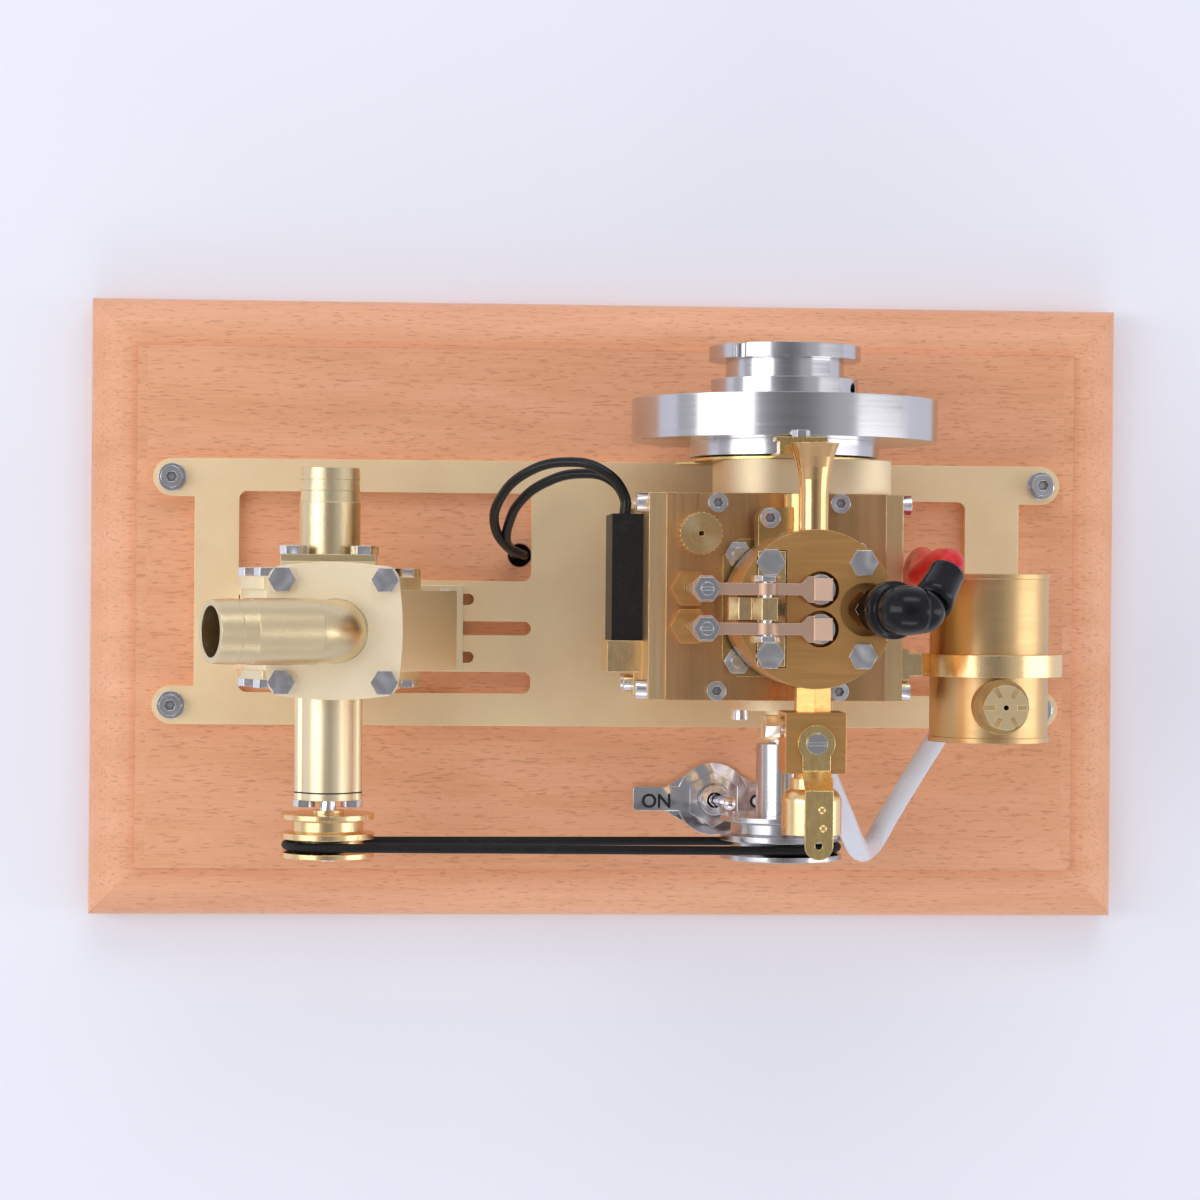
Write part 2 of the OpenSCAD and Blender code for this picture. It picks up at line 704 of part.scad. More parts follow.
module rocker_shaft() color(steel) {
  ybar(shaft_x, shaft_z, cyl_y - shaft_half, cyl_y + shaft_half, shaft_d / 2);
  for (y = [cyl_y - shaft_half, cyl_y + shaft_half - collar_t]) translate([shaft_x, y, shaft_z]) to_rear()
    difference() {
      hexagon(collar_t, collar_d);
      up(-cut) rod(collar_t + 2 * cut, shaft_d / 2 + snug);
    }
}

// Rocker arm: eye, waisted bar, pad over the valve, screw and nut over the pushrod
arm_end_d = 6.2;
eye_share = 0.78;
pad_l = 3.9;
pad_w = 4.8;
pad_h = 4;
adjuster_d = 2.8;
adjuster_h = 3;
nut_af = 4.9;
nut_h = 2;
ball_d = 2.8;
lash = 0.15;
adjuster_x = shaft_x - rocker_out;
arm_top = shaft_z + arm_h / 2;
arm_base = shaft_z - arm_h / 2;

module rocker(y) {
  color(copper) difference() {
    translate([0, y]) union() {
      ybar(shaft_x, shaft_z, -arm_t / 2, arm_t / 2, arm_h * eye_share);
      block([adjuster_x, -arm_t / 2, arm_base], [valve_x, arm_t / 2, arm_top]);
      translate([adjuster_x, 0, arm_base]) rotate(22.5) cylinder(h = arm_h, r = arm_end_d / 2, $fn = 8);
      translate([valve_x - pad_l / 2, 0, arm_base]) rotate(22.5)
        cylinder(h = arm_h, r = arm_end_d / 2, $fn = 8);
    }
    ybar(shaft_x, shaft_z, y - arm_t, y + arm_t, shaft_d / 2 + run_fit);
    block([valve_x - pad_l / 2, y - pad_w, arm_base - cut], [valve_x + pad_l * 2, y + pad_w, arm_top + cut]);
  }
  color(gold) block([valve_x - pad_l / 2, y - pad_w / 2, arm_top - pad_h + air],
    [valve_x + pad_l / 2, y + pad_w / 2, arm_top + air]);
  color(steel) {
    translate([adjuster_x, y, arm_top]) hexagon(nut_h, nut_af);
    difference() {
      zbar(adjuster_x, y, arm_base - cut, arm_top + adjuster_h, adjuster_d / 2);
      block([adjuster_x - adjuster_d, y - slot_cut / 2, arm_top + adjuster_h - slot_cut],
        [adjuster_x + adjuster_d, y + slot_cut / 2, arm_top + adjuster_h + cut]);
    }
    translate([adjuster_x, y, arm_base - cut]) sphere(ball_d / 2);
  }
}

slot_cut = 0.6;
ball_low = arm_base - cut - ball_d / 2;

module rocker_exhaust() rocker(exhaust_row);
module rocker_intake() rocker(intake_row);

// Pushrod guides: hexagonal bushes in the top cover
guide_af = 7.8;
guide_up = 4;
rod_d = 2.6;

module pushrod_guides() color(brass) valve_rows() difference() {
  union() {
    translate([pushrod_x, 0, deck_z]) hexagon(guide_up, guide_af);
    zbar(pushrod_x, 0, deck_z - cover_t - cut, deck_z + cut, guide_d / 2);
  }
  zbar(pushrod_x, 0, deck_z - cover_t - 2 * cut, deck_z + guide_up + cut, rod_d / 2 + run_fit);
}

// Pushrod with its foot above the cam, which the cam lifts in turn
base_circle_r = 3.4;
lobe_w = 2.6;
lobe_tip_r = base_circle_r + lift;
foot_t = 3;
foot_w = 5;
foot_reach = 4;
cup_d = 3.6;
cup_h = 1.6;

module pushrod(y) color(steel) {
  foot_z = crank_z + lobe_tip_r + air;
  zbar(pushrod_x, y, foot_z, ball_low - lash, rod_d / 2);
  zbar(pushrod_x, y, ball_low - lash - cup_h, ball_low - lash, cup_d / 2);
  block([pushrod_x - foot_w / 2, y - foot_w / 2, foot_z],
    [cam_x + foot_reach, y + foot_w / 2, foot_z + foot_t]);
}
module pushrod_exhaust() pushrod(exhaust_row);
module pushrod_intake() pushrod(intake_row);

// Valve with its spring retainer: the head seats in the roof of the chamber
head_t = 1;
retainer_d = 6.6;
retainer_t = 1.2;
retainer_low = 1.6;
retainer_z = roof_z - retainer_low;
tip_z = arm_top - pad_h + air - lash;
valve_seat_z = head_z + chamber_h + seat_h - air;

module valve(y) color(steel) {
  zbar(valve_x, y, valve_seat_z - head_t, tip_z, stem_d / 2);
  zbar(valve_x, y, valve_seat_z - head_t, valve_seat_z, valve_d / 2);
  zbar(valve_x, y, retainer_z, retainer_z + retainer_t, retainer_d / 2);
}
module valve_exhaust() valve(exhaust_row);
module valve_intake() valve(intake_row);

// Valve springs: each one unbroken coil between the pocket's floor and the retainer
spring_wire = 0.6;
spring_mean_d = 5;
spring_curls = 3;
spring_steps = 8;
spring_low = roof_z - pocket_h + air + spring_wire / 2;
spring_high = retainer_z - air - spring_wire / 2;
function coil(y) = [for (i = [0:spring_curls * spring_steps]) let (a = 360 * i / spring_steps)
  [valve_x + spring_mean_d / 2 * cos(a), y + spring_mean_d / 2 * sin(a),
    spring_low + (spring_high - spring_low) * i / (spring_curls * spring_steps)]];
function coil_gap(p) = min([for (i = [0:len(p) - 1 - spring_steps]) norm(p[i + spring_steps] - p[i])])
  - spring_wire;
echo(valve_spring_least_gap = coil_gap(coil(cyl_y)));

module valve_spring(y) color(steel) swept_tube(coil(y), spring_wire / 2, 6, [0, 0, 1]);
module spring_exhaust() valve_spring(exhaust_row);
module spring_intake() valve_spring(intake_row);

// Carburettor: intake neck, body with the throttle's bore, and an outlet neck
neck_af = 7.6;
neck_gap = 5.4;
barrel_d = 8;
carb_y1 = cyl_y - jacket_d / 2 - neck_gap;
carb_y0 = carb_y1 - carb_s;
carb_z = head_z + port_z;
carb_y = (carb_y0 + carb_y1) / 2;
throat_d = 5;
outer_neck_d = 8;
outer_neck_l = 3.3;
nipple_d = 3.4;
nipple_l = 4.6;
barb_d = 3.9;
needle_dy = 3.5;
needle_bore_d = 4;
needle_bore_l = 2.2;
fuel_nipple_dx = 3.6;

module carburettor() color(brass) translate([valve_x, 0, carb_z]) difference() {
  half = carb_s / 2;
  face = cyl_y - jacket_d / 2;
  union() {
    translate([0, face, 0]) to_front() rotate(30) hexagon(neck_gap + cut, neck_af);
    ybar(0, 0, face, face + exhaust_seat, port_d / 2 - snug);
    block([-half, carb_y0, -half], [half, carb_y1, half]);
    ybar(0, 0, carb_y0 - outer_neck_l, carb_y0, outer_neck_d / 2);
    zbar(fuel_nipple_dx, carb_y0 + nipple_d, -half - nipple_l, 0, nipple_d / 2);
    zbar(fuel_nipple_dx, carb_y0 + nipple_d, -half - nipple_l, -half - nipple_l / 2, barb_d / 2);
  }
  ybar(0, 0, carb_y0 - outer_neck_l - cut, cyl_y, throat_d / 2 - exhaust_wall);
  zbar(0, carb_y, cut - half, carb_s, barrel_d / 2 + run_fit);
  xbar(carb_y + needle_dy, 0, -half - cut, needle_bore_l - half, needle_bore_d / 2 + run_fit);
}

// Air horn: a bell with a domed shoulder and an open mouth
horn_wall = 0.8;
horn_dome = 3.2;

module air_horn() color(gold) translate([valve_x, carb_y0 - outer_neck_l + neck_lap, carb_z])
  to_front() rotate_extrude() difference() {
    union() {
      square([outer_neck_d / 2 + horn_wall, neck_lap + horn_wall]);
      intersection() {
        translate([0, neck_lap]) square([horn_d / 2, horn_l]);
        union() {
          translate([horn_d / 2 - horn_dome, neck_lap + horn_dome]) circle(horn_dome);
          translate([0, neck_lap + horn_dome]) square([horn_d / 2, horn_l]);
          translate([0, neck_lap]) square([horn_d / 2 - horn_dome, horn_l]);
        }
      }
    }
    translate([0, -cut]) square([outer_neck_d / 2 + snug, neck_lap + cut]);
    translate([0, neck_lap - cut]) square([throat_d / 2, horn_l]);
    translate([0, neck_lap + horn_dome]) square([horn_d / 2 - horn_wall, horn_l]);
  }
neck_lap = 2;

// Throttle: barrel in the carburettor, cranked lever over it, and the screw that joins them
lever_t = 1;
lever_rise = 5;
lever_disc_d = 8.2;
lever_lift = 0.3;
lever_bend = [6, 10];
lever_reach = 25.1;
lever_hole_d = 1.7;
screw_head_d = 4.6;
screw_head_t = 1.4;
lever_z = carb_z + carb_s / 2 + lever_lift;

module throttle_lever() translate([valve_x, carb_y, lever_z]) {
  top = lever_rise + lever_t;
  tip = lever_w / 2 - lever_reach;
  color(gold) difference() {
    intersection() {
      union() {
        rod(lever_t, lever_disc_d / 2);
        translate([-lever_w / 2, 0, 0]) rotate([90, 0, 90]) linear_extrude(lever_w)
          polygon([[0, 0], [-lever_bend[0], 0], [-lever_bend[1], lever_rise], [-lever_reach, lever_rise],
            [-lever_reach, top], [-lever_bend[1], top], [-lever_bend[0], lever_t], [0, lever_t]]);
      }
      union() {
        up(-cut) rod(top + 2 * cut, lever_disc_d / 2);
        block([-lever_w / 2, tip, -cut], [lever_w / 2, 0, top + cut]);
        zbar(0, tip, -cut, top + cut, lever_w / 2);
      }
    }
    zbar(0, tip, 0, top + cut, lever_hole_d / 2);
  }
  color(steel) difference() {
    up(-lever_z) zbar(0, 0, carb_z - carb_s / 2 + cut + air, lever_z, barrel_d / 2);
    ybar(0, carb_z - lever_z, -barrel_d, barrel_d, throat_d / 2 - exhaust_wall);
  }
  color(steel) up(lever_t) difference() {
    rod(screw_head_t, screw_head_d / 2);
    block([-screw_head_d, -slot_cut / 2, screw_head_t - slot_cut], [screw_head_d, slot_cut / 2,
      screw_head_t + cut]);
  }
}

// Needle valve: a hexagon on a short stem in the side of the carburettor
needle_af = 4.8;
needle_hex_l = 3.3;
needle_stem_l = 0.3;

module needle_valve() color(steel) translate([valve_x - carb_s / 2 - air, carb_y + needle_dy, carb_z])
  to_left() {
    up(-needle_bore_l) rod(needle_bore_l + needle_stem_l, needle_bore_d / 2);
    up(needle_stem_l) hexagon(needle_hex_l, needle_af);
  }

// Fuel tank: a drum with rolled end rims, a filler neck and a bottom outlet
tank_x = case_x1 + tank_dx;
tank_z = plate_top + tank_h;
tank_y1 = 9.6;
tank_y0 = tank_y1 - tank_l;
tank_wall = 0.8;
rim_d = 28;
rim_t = 1.2;
filler_in = 8.6;
filler_neck_d = 8;
collar_w = 12.6;
collar_h = 2.6;
outlet_dx = -5.4;
outlet_in = 4.6;
outlet_l = 5;

module fuel_tank() color(brass) translate([tank_x, tank_y0, tank_z]) difference() {
  low = -tank_d / 2 - outlet_l;
  union() {
    ybar(0, 0, 0, tank_l, tank_d / 2);
    for (y = [0, tank_l - rim_t]) ybar(0, 0, y, y + rim_t, rim_d / 2);
    zbar(0, filler_in, 0, tank_d / 2 + collar_h, collar_w / 2);
    zbar(outlet_dx, outlet_in, low, 0, nipple_d / 2);
    zbar(outlet_dx, outlet_in, low, low + outlet_l / 2, barb_d / 2);
  }
  ybar(0, 0, rim_t, tank_l - rim_t, tank_d / 2 - tank_wall);
  zbar(0, filler_in, 0, tank_d, filler_neck_d / 2);
  zbar(outlet_dx, outlet_in, -tank_d, 0, nipple_d / 2 - tank_wall);
}

// Filler cap: a slotted disc with a vent, on a plug that slides into the neck
cap_h = 5;
cap_plug_l = 4;
cap_notches = 6;
cap_notch_w = 1.1;
vent_d = 1.2;

module tank_cap() color(gold) translate([tank_x, tank_y0 + filler_in, tank_z + tank_d / 2 + collar_h])
  difference() {
    union() {
      rod(cap_h, cap_d / 2);
      up(-cap_plug_l) rod(cap_plug_l, filler_neck_d / 2 - run_fit);
    }
    up(-cap_plug_l - cut) rod(cap_h + cap_plug_l + 2 * cut, vent_d / 2);
    for (i = [0:cap_notches - 1]) rotate(360 * i / cap_notches)
      translate([cap_d / 4, -cap_notch_w / 2, cap_h - cap_notch_w]) cube([cap_d, cap_notch_w, cap_h]);
  }

// Tank clamp: a ring with a foot that screws to the side of the crankcase
clamp_ring_t = 3.2;
clamp_in = 15.2;
clamp_lip_t = 2;
clamp_foot_h = 28;
clamp_arm_h = 9;
clamp_foot_w = 7;
clamp_screw_in = [3, 14];
clamp_y = tank_y0 + clamp_in + clamp_w / 2;
clamp_foot_z = tank_z + clamp_arm_h / 2 - clamp_foot_h;

module clamp_screw_places() {
  for (s = clamp_screw_in) translate([case_x1 + clamp_lip_t, clamp_y, clamp_foot_z + s]) to_right()
    children();
}

module tank_clamp() color(gold) difference() {
  union() {
    ybar(tank_x, tank_z, clamp_y - clamp_w / 2, clamp_y + clamp_w / 2, tank_d / 2 + clamp_ring_t);
    block([case_x1, clamp_y - clamp_foot_w / 2, clamp_foot_z],
      [case_x1 + clamp_lip_t, clamp_y + clamp_foot_w / 2, clamp_foot_z + clamp_foot_h]);
    block([case_x1, clamp_y - clamp_w / 2, tank_z - clamp_arm_h / 2], [tank_x, clamp_y + clamp_w / 2,
      tank_z + clamp_arm_h / 2]);
  }
  ybar(tank_x, tank_z, clamp_y - clamp_w, clamp_y + clamp_w, tank_d / 2 + snug);
  clamp_screw_places() hole(m2, clamp_lip_t + cut);
}

// Fuel line: a soft hose from the tank's outlet down in a loop and up to the carburettor
hose_d = 5;
hose_route = [[79.9, -24.7, 54.6], [77.4, -30, 51], [72, -39, 50], [66, -49, 50],
  [62.5, -54.5, 52], [60, -56, 57], [57.5, -56, 65], [54.5, -53.5, 74], [50, -46, 85], [45.6, -37, 90.4],
  [43.6, -31.4, 91.9]];
hose_start = [79.9, -24.7, 56.3];
hose_end = [43.6, -31.4, 92.9];
hose_path = concat([hose_start], smooth(hose_route, 2), [hose_end]);
module fuel_line() color(clear_hose) swept_tube(hose_path, hose_d / 2, 10, [0.9, 0.2, 0.4]);
echo(fuel_line_length = route_length(hose_path));

// Oil filler cap: a knurled knob with a vent
oil_cap_d = 9.8;
oil_cap_h = 9;
knurls = 24;
knurl_d = 0.8;

module oil_cap() color(gold) translate([filler_x, filler_y, deck_z]) difference() {
  union() {
    rod(oil_cap_h, oil_cap_d / 2);
    up(-cover_t) rod(cover_t, filler_d / 2);
  }
  up(oil_cap_h / 2) rod(oil_cap_h, vent_d / 2);
  for (i = [0:knurls - 1]) rotate(360 * i / knurls) translate([oil_cap_d / 2, 0, -cut])
    cylinder(h = oil_cap_h + 2 * cut, r = knurl_d / 2, $fn = 4);
}

// Ignition box beside the crankcase, its bracket and its wires
module_y1 = 23.2;
module_x1 = case_x0;
module_x0 = module_x1 - module_t;
module_z0 = 38;
module_z1 = 62;
clamp_l = 7.4;
bracket_y = module_y1 - module_l - clamp_l;
lip_w = 5.6;

module ignition_module() color(rubber) block([module_x0, module_y1 - module_l, module_z0],
  [module_x1, module_y1, module_z1]);

module bracket_screw_places() {
  for (z = [module_z0 + m3 * 2, module_z1 - m3 * 2])
    translate([case_x0 - clamp_lip_t, bracket_y - lip_w / 2, z]) to_left() children();
}

module module_clamp() color(gold) difference() {
  union() {
    block([module_x0 - cut, bracket_y, module_z0], [module_x1, module_y1 - module_l,
      module_z1 + cut]);
    block([case_x0 - clamp_lip_t, bracket_y - lip_w, module_z0], [case_x0,
      bracket_y, module_z1]);
  }
  bracket_screw_places() hole(m2, clamp_lip_t + cut);
}

wire_d = 2.4;
wire_route_a = [[1.4, 23.2, 53], [1.4, 27, 53], [-2, 31.5, 52], [-9, 33, 49], [-17, 31, 45], [-23, 26.5, 40],
  [-25.5, 21.5, 34], [-26, 17, 28], [-24.3, 14.6, 22], [-23.7, 13.6, 16], [-23.7, 13.6, 6]];
wire_route_b = [[1.4, 23.2, 57], [1.4, 27, 57], [-4, 33.5, 57], [-13, 35.5, 54], [-22, 33, 49], [-28, 27, 42],
  [-29, 20.5, 34], [-25.5, 15.4, 27], [-22, 13.8, 22], [-21.1, 13.6, 16], [-21.1, 13.6, 6]];
module signal_wires() color(rubber) {
  swept_tube(smooth(wire_route_a, 1), wire_d / 2, 8, [0.6, -0.5, 0.62]);
  swept_tube(smooth(wire_route_b, 1), wire_d / 2, 8, [0.6, -0.5, 0.62]);
}
echo(wire_lengths = [route_length(smooth(wire_route_a, 8)), route_length(smooth(wire_route_b, 8))]);

// Plug boot: a rubber elbow over the plug, with a sleeve towards the lead
boot_ring_d = 12.6;
boot_ring_h = 3;
boot_ring_low = 6.9;
boot_low = 1.2;
boot_knee = 12.5;
boot_d = 9.6;
boot_bulge = 0.4;
elbow_reach = 5.6;
sleeve_d = 7.4;
boot_tip = [66.8, 9.7, 123.2];

function plug_point(s) = [crank_x + plug_dx + s * sin(plug_lean), cyl_y, roof_z + s * cos(plug_lean)];
knee = plug_point(boot_knee);
dome = knee + [elbow_reach, 0, 0];

// A round bar between two points
module link(p, q, r) translate(p) rotate([0, acos((q - p).z / norm(q - p)), atan2((q - p).y, (q - p).x)])
  rod(norm(q - p), r);

module plug_boot() color(rubber) difference() {
  union() {
    link(plug_point(boot_low), plug_point(boot_knee + boot_d / 2), boot_d / 2);
    link(plug_point(boot_ring_low), plug_point(boot_ring_low + boot_ring_h), boot_ring_d / 2);
    link(knee, dome + [boot_d / 2, 0, 0], boot_d / 2 - boot_bulge);
    link(dome, boot_tip, sleeve_d / 2);
  }
  plug_axis() {
    up(boot_low - cut) rod(cut - boot_low + hex_tall - hex_low + insulator_h, insulator_d / 2 + snug);
    rod(hex_tall - hex_low + insulator_h + terminal_h, terminal_d / 2 + snug);
  }
}

lead_dir = unit(boot_tip - dome);
lead_route = [boot_tip + run_fit * lead_dir, boot_tip + lead_d / 2 * lead_dir,
  [67.5, 12.2, 117], [66.9, 12.1, 111], [65.8, 10.4, 104], [65.2, 9.2, 98], [66.2, 9.8, 91], [68.6, 12, 82],
  [70.2, 13.2, 70], [71.2, 11.8, 56], [72.4, 9.6, 44], [73, 8.4, 32], [73, 8, 22], [73, 8, 6]];
module ht_lead() color(red) swept_tube(smooth(lead_route, 1), lead_d / 2, 10, [1, 0.3, 0]);
echo(ht_lead_length = route_length(smooth(lead_route, 8)));

// Timing plate: a ring with a tall sensor arm and an adjusting ear
timing_t = 0.7;
timing_d = 43;
arm_w = 10;
arm_up = 41;
sensor_t = 2.4;
sensor_h = 5;
back_t = 1;
back_w = 11.7;
sensor_screw_d = 3.6;
sensor_screw_t = 1.6;
timing_y = case_y1 + housing_t + run_fit;
ear_out = 30;
ear_turn = 42;
ear_h = 6;
arm_dx = -1;

module timing_plate() translate([crank_x, timing_y, crank_z]) {
  low = arm_up - sensor_h;
  color(gold) {
    difference() {
      union() {
        ybar(0, 0, 0, timing_t, timing_d / 2);
        block([arm_dx - arm_w / 2, 0, 0], [arm_dx + arm_w / 2, timing_t, arm_up]);
        rotate([0, -ear_turn, 0]) block([-ear_out, 0, -ear_h / 2], [0, timing_t, ear_h / 2]);
      }
      ybar(0, 0, -cut, timing_t + cut, nose_d / 2 + run_fit);
    }
    block([arm_dx - back_w / 2, timing_t + sensor_t, low], [arm_dx + back_w / 2, timing_t + sensor_t + back_t,
      arm_up]);
  }
  color(rubber) block([arm_dx - arm_w / 2, timing_t, low], [arm_dx + arm_w / 2, timing_t + sensor_t,
    arm_up]);
  color(steel) translate([arm_dx, timing_t + sensor_t + back_t, arm_up - sensor_screw_d / 2]) to_rear()
    hexagon(sensor_screw_t, sensor_screw_d);
}

// Switch: marked ring, bush with its nut, body under the wood, and the lever
switch_plate_t = 0.8;
tab_l = 11;
tab_w = 6;
tab_flare = 3;
flare_turn = 42;
bush_up = 6.4;
switch_nut_af = 12;
toggle_pin_d = 1.2;
toggle_pin_half = 2.8;
switch_nut_h = 2;
bat_d0 = 2.4;
bat_d1 = 3.4;
bat_l = 12;
ball_share = 1.5;
pivot_low = 2;
pivot_z = base_h + bush_up - pivot_low;

module switch_plate() color(steel) translate([switch_x, switch_y, base_h]) difference() {
  r = switch_ring_d / 2;
  foot = r + tab_flare;
  side = r * cos(flare_turn);
  rise = r * sin(flare_turn);
  linear_extrude(switch_plate_t) {
    circle(r);
    round_rect([-r - tab_l, -tab_w / 2], [r + tab_l, tab_w / 2], tab_w / 6);
    polygon([[-foot, tab_w / 2], [-side, rise], [side, rise], [foot, tab_w / 2], [foot, -tab_w / 2],
      [side, -rise], [-side, -rise], [-foot, -tab_w / 2]]);
  }
  up(-cut) rod(switch_plate_t + 2 * cut, bush_d / 2 + snug);
}

module toggle_switch() {
  color(steel) difference() {
    union() {
      zbar(switch_x, switch_y, base_h - pocket_roof, base_h + bush_up, bush_d / 2);
      translate([switch_x, switch_y, base_h + switch_plate_t]) rotate(30)
        hexagon(switch_nut_h, switch_nut_af);
    }
    translate([switch_x, switch_y, pivot_z]) sphere(bat_d0 / 2 * ball_share + air);
    ybar(switch_x, pivot_z, switch_y - bush_d, switch_y + bush_d, toggle_pin_d / 2 + run_fit);
    translate([switch_x, switch_y, pivot_z]) cylinder(h = bush_up, r1 = bat_d0 / 2 + air,
      r2 = bat_d0 / 2 + air + bush_up * tan(toggle_lean + toggle_free));
  }
  color(rubber) block([switch_x - body_l / 2, switch_y - body_w / 2, base_h - pocket_roof - body_h],
    [switch_x + body_l / 2, switch_y + body_w / 2, base_h - pocket_roof]);
}
toggle_free = 3;

module toggle_lever() color(steel) translate([switch_x, switch_y, pivot_z]) rotate([0, toggle_lean, 0]) {
  sphere(bat_d0 / 2 * ball_share);
  ybar(0, 0, -toggle_pin_half, toggle_pin_half, toggle_pin_d / 2);
  cylinder(h = bat_l, r1 = bat_d0 / 2, r2 = bat_d1 / 2);
  up(bat_l) sphere(bat_d1 / 2);
}

// Pump casing: foot, pedestal, spiral body with its chamber, and the neck under the outlet flange
pump_z = crank_z;
casing_y0 = pump_y - casing_w / 2;
casing_y1 = pump_y + casing_w / 2;
foot_l = 55;
foot_dx = 4.4;
foot_w2 = 21.2;
foot_plate_t = 3;
foot_bolt_x = 23;
foot_bolt_y = 7.2;
pedestal_l = 30;
top_w = 24;
flange_dx = 1.7;
neck_x = flange_dx - pump_x;
foot_x = foot_dx - pump_x;
bolt_pitch = 23.4;
top_flange_t = 3;
top_z = 80;
elbow_flange_t = 3;
neck_low = 12;
outlet_bore_d = 11;
bolt_ring_r = 18.2;
cover_bolt_angles = [-40, 0, 40, 140, 180, 220, 270];
chamber_front = 3;

// The outline swells from the left side, round underneath, to the right side
function volute_points(inset) = [for (a = [0:6:180])
  let (r = volute_r0 + (volute_r1 - volute_r0) * a / 180 - inset) [-r * cos(a), -r * sin(a)]];
module volute_outline(inset) {
  polygon(concat(volute_points(inset), [[volute_r1 - inset, 0], [top_w / 2 + flange_dx - inset / 2, volute_r0
    - inset], (volute_r0 - inset) * [-cos(45), sin(45)]]));
  circle(volute_r0 - inset);
}

module foot_bolt_places() translate([foot_x, pump_y, plate_top + foot_plate_t])
  corners(foot_bolt_x, foot_bolt_y) children();
module flange_bolt_places() translate([neck_x, pump_y, top_z])
  corners(bolt_pitch / 2, bolt_pitch / 2) children();
module cover_bolt_places(y, back) {
  for (a = cover_bolt_angles) translate([-pump_x + bolt_ring_r * cos(a), y, pump_z + bolt_ring_r * sin(a)])
    rotate([back ? -90 : 90, 0, 0]) children();
}
// Everything above this level belongs to the square outlet flange
module above_neck(level) block([-pump_x - base_w, -base_w, level],
  [-pump_x + base_w, base_w, level + base_w]);
module flange_outline() {
  polygon([for (q = [0:3], i = [3:-1:-3])
    let (x = bolt_pitch / 6 * i, y = flange_s / 2 - flange_bulge * i * i / 9)
    [x * cos(90 * q) - y * sin(90 * q), x * sin(90 * q) + y * cos(90 * q)]]);
  corners(bolt_pitch / 2, bolt_pitch / 2) circle((flange_s - bolt_pitch) / 2 - flange_bulge);
}
flange_bulge = 0.9;

module pump_casing() color(cream) difference() {
  union() {
    block([foot_x - foot_l / 2, pump_y - foot_w2 / 2, plate_top], [foot_x + foot_l / 2,
      pump_y + foot_w2 / 2, plate_top + foot_plate_t]);
    block([-pump_x - pedestal_l / 2, casing_y0 + cut, plate_top], [-pump_x + pedestal_l / 2, casing_y1 - cut,
      pump_z - volute_r0 / 2]);
    translate([-pump_x, casing_y1, pump_z]) to_front() linear_extrude(casing_w) volute_outline(0);
    block([neck_x - top_w / 2, casing_y0, pump_z + neck_low], [neck_x + top_w / 2,
      casing_y1, top_z - elbow_flange_t]);
    translate([neck_x, pump_y, top_z - elbow_flange_t - top_flange_t])
      linear_extrude(top_flange_t) flange_outline();
  }
  above_neck(top_z - elbow_flange_t);
  pump_bar(casing_y0 + chamber_front, casing_y1 + cut, impeller_d / 2 + cut);
  pump_bar(casing_y0 - cut, casing_y1, rotor_d / 2 + air);
  zbar(neck_x, pump_y, pump_z, top_z, outlet_bore_d / 2);
  flange_bolt_places() hole(m3, elbow_flange_t + top_flange_t + cut);
  foot_bolt_places() hole(m25, foot_plate_t + cut);
  cover_bolt_places(cover_y, true) hole(m3, rear_cover_t + cover_bite);
  cover_bolt_places(front_y, false) hole(m3, front_flange_t + cover_bite);
}

rotor_d = 4;
rear_cover_t = 3;
front_flange_t = 2;
front_y = casing_y0 - front_flange_t;
housing_end = front_y - housing_l;
cover_y = casing_y1 + rear_cover_t;
rear_boss_s = 22;
rear_boss_t = 3.6;
inlet_y = cover_y + rear_boss_t;
inlet_bolt_dx = 8.2;

// Pump cover: a round plate over the chamber with a square boss for the inlet pipe
module pump_cover() color(cream) difference() {
  union() {
    pump_bar(casing_y1, cover_y, volute_r0 + cut);
    block([-pump_x - rear_boss_s / 2, casing_y1, pump_z - rear_boss_s / 2], [-pump_x + rear_boss_s / 2,
      inlet_y, pump_z + rear_boss_s / 2]);
  }
  above_neck(top_z - elbow_flange_t - top_flange_t - air);
  pump_bar(casing_y1 - cut, inlet_y + cut, pipe_d / 2 - pipe_wall);
  cover_bolt_places(cover_y, true) hole(m3, rear_cover_t + cut);
  inlet_bolt_places() hole(m3, inlet_flange_t + inlet_bite + air);
}
pipe_wall = 1.5;
inlet_flange_t = 1.6;
inlet_bite = 3;

module inlet_bolt_places() translate([-pump_x, inlet_y + inlet_flange_t, pump_z]) to_rear()
  corners(inlet_bolt_dx, inlet_bolt_dx) children();

module pump_bolts() color(steel) {
  flange_bolt_places() hex_screw(m3, elbow_flange_t + top_flange_t);
  cover_bolt_places(cover_y, true) hex_screw(m3, rear_cover_t + cover_bite - air);
  cover_bolt_places(front_y, false) hex_screw(m3, front_flange_t + cover_bite - air);
  inlet_bolt_places() hex_screw(m3, inlet_flange_t + inlet_bite);
  foot_bolt_places() hex_screw(m25, foot_plate_t + plate_t - air);
  for (x = [-cap_bolt_dx, cap_bolt_dx]) translate([x - pump_x, housing_end - seal_t - end_cap_t, pump_z])
    to_front() hex_screw(m25, end_cap_t + seal_t + cap_grip);
}
cap_bolt_dx = 5.6;
cap_grip = 5;

// Inlet pipe: flange, plain stretch for a hose, and barbs near the mouth
inlet_l = 22;
barb_step = 0.35;
barb_in = [0, 2.8, 5.4, 8.1];

module barbed(length, r, marks) {
  rod(length - marks[len(marks) - 1], r);
  for (i = [1:len(marks) - 1]) up(length - marks[i])
    cylinder(h = marks[i] - marks[i - 1], r1 = r - barb_step / 3, r2 = r - barb_step);
}

